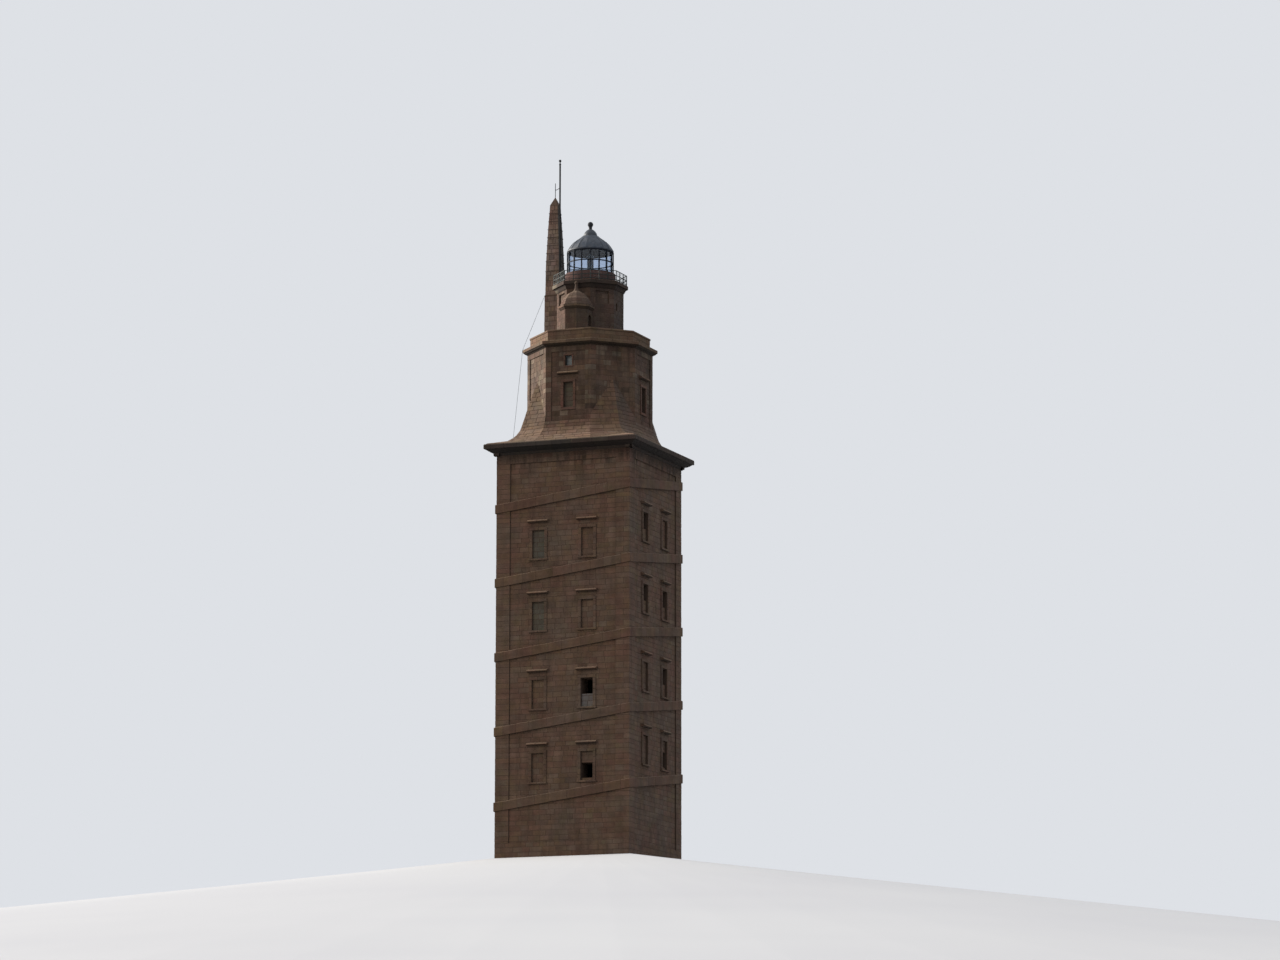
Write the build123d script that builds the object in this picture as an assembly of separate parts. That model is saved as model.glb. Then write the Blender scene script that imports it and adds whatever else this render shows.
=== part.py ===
from build123d import *
import math
import os

os.makedirs("parts", exist_ok=True)

# The lighthouse is a tall square stone tower with an octagonal top, a small drum and a lantern.
# Sizes below are those of the real building in metres.
# The model is drawn at half size in millimetres, so one real metre is 500 mm here.
# The front is the -Y side, the right is +X, and z is up from the ground.
M = 500.0
# A shape that cuts another runs this far past the faces it cuts
CUT = 0.10

# Square shaft
SHAFT_HALF = 5.85
PANEL_SET_BACK = 0.10
PANEL_HALF = SHAFT_HALF - PANEL_SET_BACK
WALL_THICKNESS = 1.50
ROOM_HALF = PANEL_HALF - WALL_THICKNESS
PILASTER_WIDTH = 1.20
BASE_COURSE_TOP = 1.20
WALL_TOP = 33.10
FRIEZE_HEIGHT = 0.74
FRIEZE_BOTTOM = WALL_TOP - FRIEZE_HEIGHT

# Ramp band: it climbs to the right on each side, one full turn for each storey
STOREY = 6.12
RISE = STOREY / 4
BAND_START = 3.79
BAND_HEIGHT = 0.75
BAND_REACH = 0.10
BAND_HALF = SHAFT_HALF + BAND_REACH
BAND_TURNS = 5

# Each side's windows and band stand a quarter storey above the side before it,
# and those of the fourth side start a storey lower
SIDES = ("front", "right", "back", "left")
SIDE_LIFT = (0.0, RISE, 2 * RISE, 3 * RISE - STOREY)

# Windows of the shaft, two columns and four rows on each side, counted from the top
COLUMN = 2.15
COLUMNS = {"left": -COLUMN, "right": COLUMN}
ROW_SILLS = (24.38, 18.46, 12.05, 6.06)
RECESS_WIDTH = 1.05
RECESS_HEIGHT = 2.35
RECESS_DEPTH = 0.12
FRAME_MARGIN = 0.26
FRAME_TOP = 0.24
SILL_HEIGHT = 0.16
SILL_OVERHANG = 0.06
SILL_REACH = 0.08

# Stone hoods over the windows
HOOD_ABOVE = 2.98
HOOD_WIDTH = 1.80
HOOD_REACH = 0.36
HOOD_HEIGHT = 0.27
HOOD_LIP = (0.08, 0.17)
HOOD_CHAMFER = 0.10

# Some recesses are open right through, over this part of their height
HOLES = {"upper": (1.07, 2.32), "lower": (0.22, 1.45)}
NARROW_SIDE_HOLES = (("right", 2, "upper"), ("right", 3, "lower"))
WIDE_SIDE_HOLES = (
    ("left", 0, "upper"),
    ("left", 1, "upper"),
    ("right", 1, "upper"),
    ("right", 2, "upper"),
    ("right", 3, "lower"),
)
SIDE_HOLES = (NARROW_SIDE_HOLES, WIDE_SIDE_HOLES, NARROW_SIDE_HOLES, WIDE_SIDE_HOLES)

# Floors inside the shaft
GROUND_FLOOR_TOP = 0.30
FLOOR_THICKNESS = 0.36
FLOOR_TOPS = (4.10, 11.25, 17.88, 23.35)

# Entrance on the back
DOOR_WIDTH = 1.60
DOOR_HEIGHT = 2.70
DOOR_THICKNESS = 0.12
DOOR_SET_BACK = 0.45
DOOR_SURROUND = 0.30
DOOR_SURROUND_REACH = 0.06

# Square cornice: a small moulding, a sloping moulding and a plain slab
CORNICE_HALF = SHAFT_HALF + 0.85
CORNICE_TOP = WALL_TOP + 0.90
CORNICE_SLAB = 0.40
CORNICE_MOULDING_HEIGHT = 0.20
CORNICE_MOULDING_REACH = 0.12
CORNICE_STEP = 0.08
CORNICE_LIP = 0.12
OCTAGON_FLOOR = 0.50

# Octagon: apothem is the distance from the axis to the middle of a face
TURN_EIGHTH = math.tan(math.radians(22.5))
OCTAGON_APOTHEM = SHAFT_HALF - 1.06
OCTAGON_WALL = 1.09
OCTAGON_INNER = OCTAGON_APOTHEM - OCTAGON_WALL
OCTAGON_TOP = CORNICE_TOP + 8.10
OCTAGON_PANEL_DEPTH = 0.08
OCTAGON_PANEL_FACE = OCTAGON_APOTHEM - OCTAGON_PANEL_DEPTH
OCTAGON_PILASTER = 0.50
OCTAGON_FRIEZE = 0.42
CORNER_PANEL_BOTTOM = CORNICE_TOP + 4.20

# Windows of the octagon: width, bottom and top
TALL_WINDOW = (0.85, CORNICE_TOP + 3.00, CORNICE_TOP + 5.10)
TALL_FRAME_MARGIN = 0.22
TALL_FRAME_REACH = 0.10
BLIND_WINDOW_DEPTH = 0.33
SMALL_WINDOW = (0.62, CORNICE_TOP + 6.48, CORNICE_TOP + 7.34)
SMALL_FRAME_MARGIN = 0.12
SMALL_FRAME_REACH = 0.06
PANE_SET_BACK = 0.40
PANE_THICKNESS = 0.04
OCTAGON_HOOD_BOTTOM = CORNICE_TOP + 5.72
OCTAGON_HOOD_HALF = 0.92
OCTAGON_HOOD_REACH = 0.30
OCTAGON_HOOD_HEIGHT = 0.30

# Skirt of sloping stone round the foot of the octagon: how far out and how far up it goes
MAIN_SKIRT = ((0.06, 1.90), (0.19, 1.35), (0.56, 0.70), (1.26, 0.06))
# Ridge of each corner of the skirt, down to the cornice's tip in a hollow curve
CORNER_RIDGE = (
    (0.0, 4.10),
    (0.72, 3.40),
    (1.10, 2.30),
    (1.24, 1.90),
    (1.45, 1.35),
    (1.74, 0.97),
    (2.05, 0.70),
    (2.57, 0.41),
    (4.45, 0.06),
)
# The corner's two sides leave the octagon's edges at this height
CORNER_EDGE_HEIGHT = 2.30
MAIN_SKIRT_TOP = CORNICE_TOP + MAIN_SKIRT[0][1]
MAIN_PANEL_BOTTOM = MAIN_SKIRT_TOP + 0.04

# Octagon cornice
OCTAGON_CORNICE = OCTAGON_APOTHEM + 0.38
OCTAGON_CORNICE_TOP = OCTAGON_TOP + 0.50
OCTAGON_CORNICE_SLAB = 0.25
OCTAGON_MOULDING = 0.10
OCTAGON_CORNICE_STEP = 0.04
OCTAGON_CORNICE_LIP = 0.05

# Parapet round the octagon's terrace
PARAPET_OUTER = OCTAGON_APOTHEM - 0.21
PARAPET_WALL = 0.30
PARAPET_INNER = PARAPET_OUTER - PARAPET_WALL
PARAPET_TOP = OCTAGON_CORNICE_TOP + 0.98
COPING_HEIGHT = 0.13
COPING_REACH = 0.05
COPING_INSIDE = 0.02

# Drum and gallery
TERRACE_WIDTH = 1.73
DRUM_APOTHEM = PARAPET_INNER - TERRACE_WIDTH
DRUM_WALL = 0.50
DRUM_INNER = DRUM_APOTHEM - DRUM_WALL
DRUM_TOP = OCTAGON_CORNICE_TOP + 4.80
# Windows of the drum are walled up; the slits beside them are open
DRUM_WINDOW = (1.20, OCTAGON_CORNICE_TOP + 3.55, OCTAGON_CORNICE_TOP + 4.58)
INFILL_SET_BACK = 0.14
INFILL_THICKNESS = 0.30
DRUM_SLIT = (0.27, OCTAGON_CORNICE_TOP + 3.10, OCTAGON_CORNICE_TOP + 3.70)
DRUM_SLIT_OFFSET = -0.47
GALLERY_APOTHEM = DRUM_APOTHEM + 0.35
GALLERY_BOTTOM = DRUM_TOP + 0.35
GALLERY_TOP = GALLERY_BOTTOM + 0.30
BRACKET_FOOT = 0.03
BRACKET_SET_BACK = 0.10
RAIL_APOTHEM = GALLERY_APOTHEM - 0.10
RAIL_TOP = GALLERY_TOP + 0.91
RAIL_LOW = GALLERY_TOP + 0.10
RAIL_BAR = 0.05

# Stair turret in front of the drum, just clear of the parapet
CLEARANCE = 0.03
TURRET_APOTHEM = 1.207
TURRET_CENTRE_Y = -(PARAPET_INNER - CLEARANCE - TURRET_APOTHEM)
TURRET_WALL = 0.30
TURRET_WALL_TOP = OCTAGON_CORNICE_TOP + 2.75
TURRET_MOULDING_TOP = TURRET_WALL_TOP + 0.40
TURRET_MOULDING_SLOPE = 0.18
TURRET_MOULDING_REACH = 0.17
TURRET_SLOPE_REACH = 0.12
# Roof of the turret: share of the wall's apothem, and height above the moulding
TURRET_ROOF = ((1.044, 0.0), (0.895, 0.50), (0.563, 1.03), (0.083, 1.37))
TURRET_ROOF_TOP = TURRET_MOULDING_TOP + TURRET_ROOF[-1][1]
PINNACLE_RADIUS = 0.08
PINNACLE_BALL = 0.11
PINNACLE_HEIGHT = 0.66
# Round-headed window on the turret's right side: width, bottom and top
TURRET_WINDOW = (0.66, OCTAGON_CORNICE_TOP + 1.35, OCTAGON_CORNICE_TOP + 2.35)

# Lantern
LANTERN_BASE_RADIUS = DRUM_APOTHEM - 0.44
LANTERN_BASE_WALL = 0.37
LANTERN_BASE_INNER = LANTERN_BASE_RADIUS - LANTERN_BASE_WALL
LANTERN_BASE_TOP = GALLERY_TOP + 0.95
GLAZING_SIDES = 16
GLAZING_RADIUS = LANTERN_BASE_RADIUS - 0.19
GLAZING_TOP = LANTERN_BASE_TOP + 1.93
GLAZING_BAR = 0.07
GLAZING_SILL = 0.10
GLASS_THICKNESS = 0.02
GLASS_CLEARANCE = 0.005
EAVE_OUTER = GLAZING_RADIUS + 0.02
EAVE_INNER = GLAZING_RADIUS - 0.18
EAVE_HEIGHT = 0.10
DOME_FOOT = GLAZING_TOP + EAVE_HEIGHT
DOME_RADIUS = GLAZING_RADIUS - 0.02
DOME_HEIGHT = 1.26
DOME_TOP = DOME_FOOT + DOME_HEIGHT
# Outline of the dome, as shares of its radius and of its height
DOME_CURVE = ((1.0, 0.0), (0.82, 0.31), (0.64, 0.62), (0.43, 0.905), (0.337, 1.0))
DOME_THICKNESS = 0.07
VENT_HOLE = DOME_RADIUS * DOME_CURVE[-1][0] - DOME_THICKNESS

# Vent cowl that sits in the dome's hole, with a ball on top; heights are above the dome's top
COWL_PLUG = 0.06
COWL_RIM = VENT_HOLE + 0.02
COWL_CURVE = ((0.565, 0.06), (0.51, 0.27), (0.38, 0.45), (0.20, 0.59))
NECK_RADIUS = 0.135
FINIAL_BALL = 0.19
FINIAL_BALL_HEIGHT = 1.07

# The turning optic stands clear of its pedestal except at the bearing boss
PEDESTAL_TOP = LANTERN_BASE_TOP + 0.40
PEDESTAL_RADIUS = 0.20
PEDESTAL_FOOT = (0.34, 0.15)
OPTIC_RADIUS = 0.30
OPTIC_BARREL = OPTIC_RADIUS - 0.04
OPTIC_TOP = PEDESTAL_TOP + 1.30
OPTIC_RIM = 0.08
OPTIC_CAP = (0.12, 0.06)
LENS_RADIUS = 0.20
LENS_THICKNESS = 0.12
OPTIC_GAP = 0.016
BEARING_RADIUS = 0.12
BEARING_GAP = 0.0006

# Obelisk behind the drum; its heights are above the terrace
OBELISK_FOOT = ((1.36, 0.0), (1.30, 4.95))
OBELISK_SHAFT = ((1.22, 4.95), (1.16, 7.60), (0.90, 10.70), (0.66, 12.78))
OBELISK_POINT = ((0.72, 12.78), (0.06, 13.50))
OBELISK_LEDGE = 0.05
OBELISK_LEDGE_HEIGHT = 0.13
OBELISK_TOP = OCTAGON_CORNICE_TOP + OBELISK_POINT[1][1]
OBELISK_X = -(PARAPET_INNER - CLEARANCE - OBELISK_FOOT[0][0] / 2)
OBELISK_Y = 0.95

# Lightning conductor: from the obelisk's ledge over the tip of the octagon's cornice
# to this point of the ridge at the skirt's front left corner
WIRE_RADIUS = 0.012
WIRE_FOOT = CORNER_RIDGE[6]

# Mast strapped to the obelisk's front right corner; brackets are below the obelisk's top
MAST_X = OBELISK_X + 0.70
MAST_Y = OBELISK_Y - 0.68
MAST_RADIUS = 0.045
MAST_BOTTOM = OBELISK_TOP - 6.80
MAST_BRACKETS = (6.20, 4.10, 1.80)
BRACKET_BAR = 0.05
ARM_HEIGHT = OBELISK_TOP + 0.65
ARM_BAR = 0.04
ROD_TOP = ARM_HEIGHT + 0.60
KNOB_RADIUS = 0.075
KNOB_HEIGHT = ARM_HEIGHT + 2.03
BALL_RADIUS = 0.11
BALL_HEIGHT = KNOB_HEIGHT + 0.30


# Solids used throughout
def block(x0, x1, y0, y1, z0, z1):
    size = Box((x1 - x0) * M, (y1 - y0) * M, (z1 - z0) * M)
    return Pos((x0 + x1) / 2 * M, (y0 + y1) / 2 * M, (z0 + z1) / 2 * M) * size


def outline(points):
    scaled = [(x * M, y * M, z * M) for x, y, z in points]
    return make_face(Polyline(*scaled, close=True))


def upright(points, z0, z1):
    """A plan outline pushed up from z0 to z1."""
    flat = outline([(x, y, z0) for x, y in points])
    return extrude(flat, amount=(z1 - z0) * M, dir=(0, 0, 1))


def through(points, y0, y1):
    """An outline seen from the front, given as x and z, pushed back from y0 to y1."""
    flat = outline([(x, y0, z) for x, z in points])
    return extrude(flat, amount=(y1 - y0) * M, dir=(0, 1, 0))


def sideways(points, x0, x1):
    """An outline seen from the side, given as y and z, pushed right from x0 to x1."""
    flat = outline([(x0, y, z) for y, z in points])
    return extrude(flat, amount=(x1 - x0) * M, dir=(1, 0, 0))


def regular(sides, apothem):
    """The corners of a regular outline with one flat side facing the front."""
    radius = apothem / math.cos(math.pi / sides)
    step = 2 * math.pi / sides
    angles = [-math.pi / 2 + step * (k + 0.5) for k in range(sides)]
    return [(radius * math.cos(a), radius * math.sin(a)) for a in angles]


def tower(sides, apothem, z0, z1):
    return upright(regular(sides, apothem), z0, z1)


def tapered(sides, low, z0, high, z1):
    """A regular tower whose apothem changes evenly from low to high."""
    bottom = outline([(x, y, z0) for x, y in regular(sides, low)])
    top = outline([(x, y, z1) for x, y in regular(sides, high)])
    return loft([bottom, top], ruled=True)


def drum_of(radius, z0, z1):
    return Pos(0, 0, (z0 + z1) / 2 * M) * Cylinder(radius * M, (z1 - z0) * M)


def turned(shape, degrees):
    return Rot(0, 0, degrees) * shape


def group(shapes):
    solids = []
    for shape in shapes:
        solids.extend(shape.solids())
    return Compound(children=solids)


def save(shape, name):
    export_step(shape, "parts/" + name + ".step")


def slot_in(window, y0, y1):
    """The hole of a window, given as width, bottom and top, from y0 to y1."""
    width, bottom, top = window
    return block(-width / 2, width / 2, y0, y1, bottom, top)


def framed(window, margin, reach, face):
    """A window's surround, standing out from a face."""
    width, bottom, top = window
    outer = block(-width / 2 - margin, width / 2 + margin, face - reach, face,
                  bottom - margin, top + margin)
    return outer - slot_in(window, face - reach - CUT, face + CUT)


# Square shaft
def mitred(out, back, z0, z1):
    """A front wall between two distances from the axis, mitred at both corners."""
    corners = [(-out, -out), (out, -out), (back, -back), (-back, -back)]
    return upright(corners, z0, z1)


def plain_wall():
    """The sunk panel with the base course below it and the frieze above it."""
    shape = mitred(PANEL_HALF, ROOM_HALF, 0, WALL_TOP)
    shape += mitred(SHAFT_HALF, PANEL_HALF, 0, BASE_COURSE_TOP)
    shape += mitred(SHAFT_HALF, PANEL_HALF, FRIEZE_BOTTOM, WALL_TOP)
    return shape


def recess(column, sill):
    half = RECESS_WIDTH / 2
    return block(column - half, column + half, -PANEL_HALF - CUT, -PANEL_HALF + RECESS_DEPTH,
                 sill, sill + RECESS_HEIGHT)


def hole(column, sill, span):
    half = RECESS_WIDTH / 2
    return block(column - half, column + half, -PANEL_HALF - CUT, -ROOM_HALF + CUT,
                 sill + span[0], sill + span[1])


def wall(side):
    shape = plain_wall()
    sills = [sill + SIDE_LIFT[side] for sill in ROW_SILLS]
    for sill in sills:
        shape -= recess(-COLUMN, sill)
        shape -= recess(COLUMN, sill)
    for column, row, part in SIDE_HOLES[side]:
        shape -= hole(COLUMNS[column], sills[row], HOLES[part])
    if SIDES[side] == "back":
        shape -= doorway(-SHAFT_HALF - CUT, -ROOM_HALF + CUT)
        shape -= surround_block(-SHAFT_HALF - CUT)
    return shape


def doorway(y0, y1):
    floor = GROUND_FLOOR_TOP
    return block(-DOOR_WIDTH / 2, DOOR_WIDTH / 2, y0, y1, floor, floor + DOOR_HEIGHT)


def surround_block(face):
    half = DOOR_WIDTH / 2 + DOOR_SURROUND
    top = GROUND_FLOOR_TOP + DOOR_HEIGHT + DOOR_SURROUND
    return block(-half, half, face, -PANEL_HALF, 0, top)


def door_surround():
    face = -SHAFT_HALF - DOOR_SURROUND_REACH
    return surround_block(face) - doorway(face - CUT, -PANEL_HALF + CUT)


def door_leaf():
    face = -PANEL_HALF + DOOR_SET_BACK
    return doorway(face, face + DOOR_THICKNESS)


def pilaster():
    out, back, end = SHAFT_HALF, PANEL_HALF, SHAFT_HALF - PILASTER_WIDTH
    corners = [(out, -out), (out, -end), (back, -end), (back, -back), (end, -back), (end, -out)]
    return upright(corners, BASE_COURSE_TOP, FRIEZE_BOTTOM)


def corner_pilasters():
    return [turned(pilaster(), 90 * k) for k in range(4)]


def front_quarter():
    """The quarter of the plan that belongs to the front side, up to the frieze."""
    reach = 2 * SHAFT_HALF
    return upright([(0, 0), (-reach, -reach), (reach, -reach)], 0, FRIEZE_BOTTOM)


def band_piece(low):
    """One side's band: it climbs from low at the left corner."""
    overrun = BAND_REACH * RISE / (2 * SHAFT_HALF)
    start = low - overrun
    end = low + RISE + overrun
    corners = [
        (-BAND_HALF, start),
        (BAND_HALF, end),
        (BAND_HALF, end + BAND_HEIGHT),
        (-BAND_HALF, start + BAND_HEIGHT),
    ]
    return through(corners, -BAND_HALF, -PANEL_HALF) & front_quarter()


def bands(side):
    """The turns of the band on one side, cut to lie on the pilasters."""
    pilasters = Part() + corner_pilasters()
    lowest = BAND_START + SIDE_LIFT[side]
    return [band_piece(lowest + STOREY * turn) - pilasters for turn in range(BAND_TURNS)]


def window_frame():
    half = RECESS_WIDTH / 2
    outer = block(-half - FRAME_MARGIN, half + FRAME_MARGIN, -SHAFT_HALF, -PANEL_HALF,
                  0, RECESS_HEIGHT + FRAME_TOP)
    inside = block(-half, half, -SHAFT_HALF - CUT, -PANEL_HALF + CUT, 0, RECESS_HEIGHT)
    sill_half = half + FRAME_MARGIN + SILL_OVERHANG
    sill = block(-sill_half, sill_half, -SHAFT_HALF - SILL_REACH, -PANEL_HALF, -SILL_HEIGHT, 0)
    return outer - inside + sill


def window_hood():
    reach = -PANEL_HALF - HOOD_REACH
    corners = [
        (-PANEL_HALF, 0),
        (reach + HOOD_CHAMFER, 0),
        (reach, HOOD_LIP[0]),
        (reach, HOOD_LIP[1]),
        (-PANEL_HALF, HOOD_HEIGHT),
    ]
    return sideways(corners, -HOOD_WIDTH / 2, HOOD_WIDTH / 2)


def on_each_window(shape, lift):
    pieces = []
    for side in range(4):
        for sill in ROW_SILLS:
            for column in (-COLUMN, COLUMN):
                placed = Pos(column * M, 0, (sill + SIDE_LIFT[side] + lift) * M) * shape
                pieces.append(turned(placed, 90 * side))
    return pieces


def square_cornice():
    moulding_top = WALL_TOP + CORNICE_MOULDING_HEIGHT
    slab_bottom = CORNICE_TOP - CORNICE_SLAB
    moulding = SHAFT_HALF + CORNICE_MOULDING_REACH
    shape = tapered(4, SHAFT_HALF, WALL_TOP, moulding, moulding_top)
    shape += tapered(4, moulding + CORNICE_STEP, moulding_top, CORNICE_HALF - CORNICE_LIP, slab_bottom)
    shape += tower(4, CORNICE_HALF, slab_bottom, CORNICE_TOP)
    return shape - tower(4, ROOM_HALF, WALL_TOP - CUT, CORNICE_TOP + CUT)


for side, name in enumerate(SIDES):
    save(turned(wall(side), 90 * side), "wall_" + name)
    save(group([turned(piece, 90 * side) for piece in bands(side)]), "ramp_band_" + name)

save(group(corner_pilasters()), "corner_pilasters")
save(turned(door_surround(), 180), "door_surround")
save(turned(door_leaf(), 180), "entrance_door")
save(group(on_each_window(window_frame(), 0)), "window_frames")
save(group(on_each_window(window_hood(), HOOD_ABOVE)), "window_hoods")
save(tower(4, ROOM_HALF, 0, GROUND_FLOOR_TOP), "ground_floor")
save(group([tower(4, ROOM_HALF, top - FLOOR_THICKNESS, top) for top in FLOOR_TOPS]), "upper_floors")
save(square_cornice(), "square_cornice")
save(tower(4, ROOM_HALF, CORNICE_TOP - OCTAGON_FLOOR, CORNICE_TOP), "octagon_floor")


# Octagon
def octagon_wall():
    out, back = OCTAGON_APOTHEM, OCTAGON_INNER
    corners = [
        (-out * TURN_EIGHTH, -out),
        (out * TURN_EIGHTH, -out),
        (back * TURN_EIGHTH, -back),
        (-back * TURN_EIGHTH, -back),
    ]
    return upright(corners, CORNICE_TOP, OCTAGON_TOP)


def sunk_panel(bottom):
    half = OCTAGON_APOTHEM * TURN_EIGHTH - OCTAGON_PILASTER
    return block(-half, half, -OCTAGON_APOTHEM - CUT, -OCTAGON_PANEL_FACE,
                 bottom, OCTAGON_TOP - OCTAGON_FRIEZE)


def main_octagon_wall(open_window):
    shape = octagon_wall() - sunk_panel(MAIN_PANEL_BOTTOM)
    face = -OCTAGON_APOTHEM - CUT
    if open_window:
        return shape - slot_in(TALL_WINDOW, face, -OCTAGON_INNER + CUT)
    shape -= slot_in(TALL_WINDOW, face, -OCTAGON_APOTHEM + BLIND_WINDOW_DEPTH)
    return shape - slot_in(SMALL_WINDOW, face, -OCTAGON_INNER + CUT)


def octagon_hood():
    face = -OCTAGON_PANEL_FACE
    reach = face - OCTAGON_HOOD_REACH
    low = OCTAGON_HOOD_BOTTOM
    third = OCTAGON_HOOD_HEIGHT / 3
    corners = [
        (face, low),
        (reach, low + third),
        (reach, low + 2 * third),
        (face, low + OCTAGON_HOOD_HEIGHT),
    ]
    return sideways(corners, -OCTAGON_HOOD_HALF, OCTAGON_HOOD_HALF)


def skirt_side():
    """The front side of the skirt, between the lines through the octagon's edges."""
    slope = [(-OCTAGON_APOTHEM - out, CORNICE_TOP + up) for out, up in MAIN_SKIRT]
    bottom = (slope[-1][0], CORNICE_TOP)
    back = [(-OCTAGON_APOTHEM, CORNICE_TOP), (-OCTAGON_APOTHEM, MAIN_SKIRT_TOP)]
    shape = sideways(back + slope + [bottom], -CORNICE_HALF, CORNICE_HALF)
    far = 2 * CORNICE_HALF
    slice_corners = [(0, 0), (-far * TURN_EIGHTH, -far), (far * TURN_EIGHTH, -far)]
    return shape & upright(slice_corners, CORNICE_TOP - CUT, MAIN_SKIRT_TOP + CUT)


def main_slope_at(up):
    """How far the skirt's sides stand out at one height."""
    if up > MAIN_SKIRT[0][1]:
        return 0
    for (out, high), (lower_out, low) in zip(MAIN_SKIRT, MAIN_SKIRT[1:]):
        if up >= low:
            return out + (lower_out - out) * (high - up) / (high - low)
    return MAIN_SKIRT[-1][0]


def edge_point(side, up):
    """Where a side of the skirt's corner meets the skirt's next side, or the octagon's edge above it."""
    up = min(up, CORNER_EDGE_HEIGHT)
    apothem = OCTAGON_APOTHEM + main_slope_at(up)
    return side * apothem * TURN_EIGHTH, -apothem, CORNICE_TOP + up


def skirt_corner():
    """A corner of the skirt, turned to the front: two sides of flat triangles that meet in a ridge."""
    steps = CORNER_RIDGE + ((CORNER_RIDGE[-1][0], 0),)
    ridge = [(0, -OCTAGON_APOTHEM - out, CORNICE_TOP + up) for out, up in steps]
    apex = ridge[0]
    faces = []
    ends = []
    for side in (-1, 1):
        edges = [edge_point(side, up) for out, up in steps]
        for k in range(len(steps) - 1):
            faces.append(outline([ridge[k], ridge[k + 1], edges[k + 1]]))
            if edges[k] != edges[k + 1]:
                faces.append(outline([ridge[k], edges[k + 1], edges[k]]))
        top = edges[0]
        inner = (top[0], top[1], CORNICE_TOP)
        climb = [point for point, following in zip(edges, edges[1:]) if point != following]
        faces.append(outline(climb + [edges[-1], inner]))
        ends.append((top, inner, edges[-1]))
    (left_top, left_inner, left_low), (right_top, right_inner, right_low) = ends
    faces.append(outline([left_inner, left_top, apex, right_top, right_inner]))
    faces.append(outline([left_inner, left_low, ridge[-1], right_low, right_inner]))
    return Solid(Shell(faces))


def octagon_ring(outer, inner, z0, z1):
    return tower(8, outer, z0, z1) - tower(8, inner, z0 - CUT, z1 + CUT)


def octagon_cornice():
    moulding_top = OCTAGON_TOP + OCTAGON_MOULDING
    slab_bottom = OCTAGON_CORNICE_TOP - OCTAGON_CORNICE_SLAB
    moulding = OCTAGON_APOTHEM + OCTAGON_MOULDING
    shape = tapered(8, OCTAGON_APOTHEM, OCTAGON_TOP, moulding, moulding_top)
    shape += tapered(8, moulding + OCTAGON_CORNICE_STEP, moulding_top,
                     OCTAGON_CORNICE - OCTAGON_CORNICE_LIP, slab_bottom)
    shape += tower(8, OCTAGON_CORNICE, slab_bottom, OCTAGON_CORNICE_TOP)
    return shape - tower(8, OCTAGON_INNER, OCTAGON_TOP - CUT, OCTAGON_CORNICE_TOP + CUT)


def parapet():
    coping_bottom = PARAPET_TOP - COPING_HEIGHT
    shape = octagon_ring(PARAPET_OUTER, PARAPET_INNER, OCTAGON_CORNICE_TOP, coping_bottom)
    return shape + octagon_ring(PARAPET_OUTER + COPING_REACH, PARAPET_INNER - COPING_INSIDE,
                                coping_bottom, PARAPET_TOP)


blind_wall = main_octagon_wall(False)
open_wall = main_octagon_wall(True)
save(group([blind_wall, turned(open_wall, 90), turned(blind_wall, 180), turned(open_wall, 270)]),
     "octagon_main_walls")
plain = octagon_wall()
panelled = plain - sunk_panel(CORNER_PANEL_BOTTOM)
save(group([turned(plain, 45), turned(panelled, 135), turned(plain, 225), turned(panelled, 315)]),
     "octagon_corner_walls")
save(group([turned(skirt_side(), 90 * k) for k in range(4)]), "octagon_skirt_sides")
save(group([turned(skirt_corner(), 90 * k + 45) for k in range(4)]), "octagon_skirt_corners")
tall_frame = framed(TALL_WINDOW, TALL_FRAME_MARGIN, TALL_FRAME_REACH, -OCTAGON_PANEL_FACE)
small_frame = framed(SMALL_WINDOW, SMALL_FRAME_MARGIN, SMALL_FRAME_REACH, -OCTAGON_PANEL_FACE)
frames = [turned(tall_frame, 90 * k) for k in range(4)]
frames += [small_frame, turned(small_frame, 180)]
save(group(frames), "octagon_window_frames")
save(group([turned(octagon_hood(), 90 * k) for k in range(4)]), "octagon_hoods")
pane_face = -OCTAGON_APOTHEM + PANE_SET_BACK
pane = slot_in(SMALL_WINDOW, pane_face, pane_face + PANE_THICKNESS)
save(group([pane, turned(pane, 180)]), "octagon_window_panes")
save(octagon_cornice(), "octagon_cornice")
save(tower(8, OCTAGON_INNER, OCTAGON_TOP, OCTAGON_CORNICE_TOP), "terrace_floor")
save(parapet(), "parapet")


# Drum, stair turret and gallery
def drum_walls():
    shape = octagon_ring(DRUM_APOTHEM, DRUM_INNER, OCTAGON_CORNICE_TOP, DRUM_TOP)
    window = slot_in(DRUM_WINDOW, -DRUM_APOTHEM - CUT, -DRUM_INNER + CUT)
    slit = slot_in(DRUM_SLIT, -DRUM_APOTHEM - CUT, -DRUM_INNER + CUT)
    slit = Pos(DRUM_SLIT_OFFSET * M, 0, 0) * slit
    for angle in (45, 135, 225, 315):
        shape -= turned(window, angle)
    for angle in (90, 270):
        shape -= turned(slit, angle)
    return shape


def drum_infill():
    """The masonry that closes one window of the drum, set back from its face."""
    face = -DRUM_APOTHEM + INFILL_SET_BACK
    return slot_in(DRUM_WINDOW, face, face + INFILL_THICKNESS)


def drum_core():
    return tower(8, DRUM_APOTHEM, OCTAGON_CORNICE_TOP - CUT, GALLERY_TOP)


def at_turret(shape):
    return Pos(0, TURRET_CENTRE_Y * M, 0) * shape


def turret_window():
    """A round-headed hole through the turret's right wall."""
    width, bottom, top = TURRET_WINDOW
    spring = top - width / 2
    middle = TURRET_APOTHEM - TURRET_WALL / 2
    reach = TURRET_WALL / 2 + CUT
    opening = block(middle - reach, middle + reach, -width / 2, width / 2, bottom, spring)
    arch = Pos(middle * M, 0, spring * M) * Rot(0, 90, 0) * Cylinder(width / 2 * M, 2 * reach * M)
    return opening + arch


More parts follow.
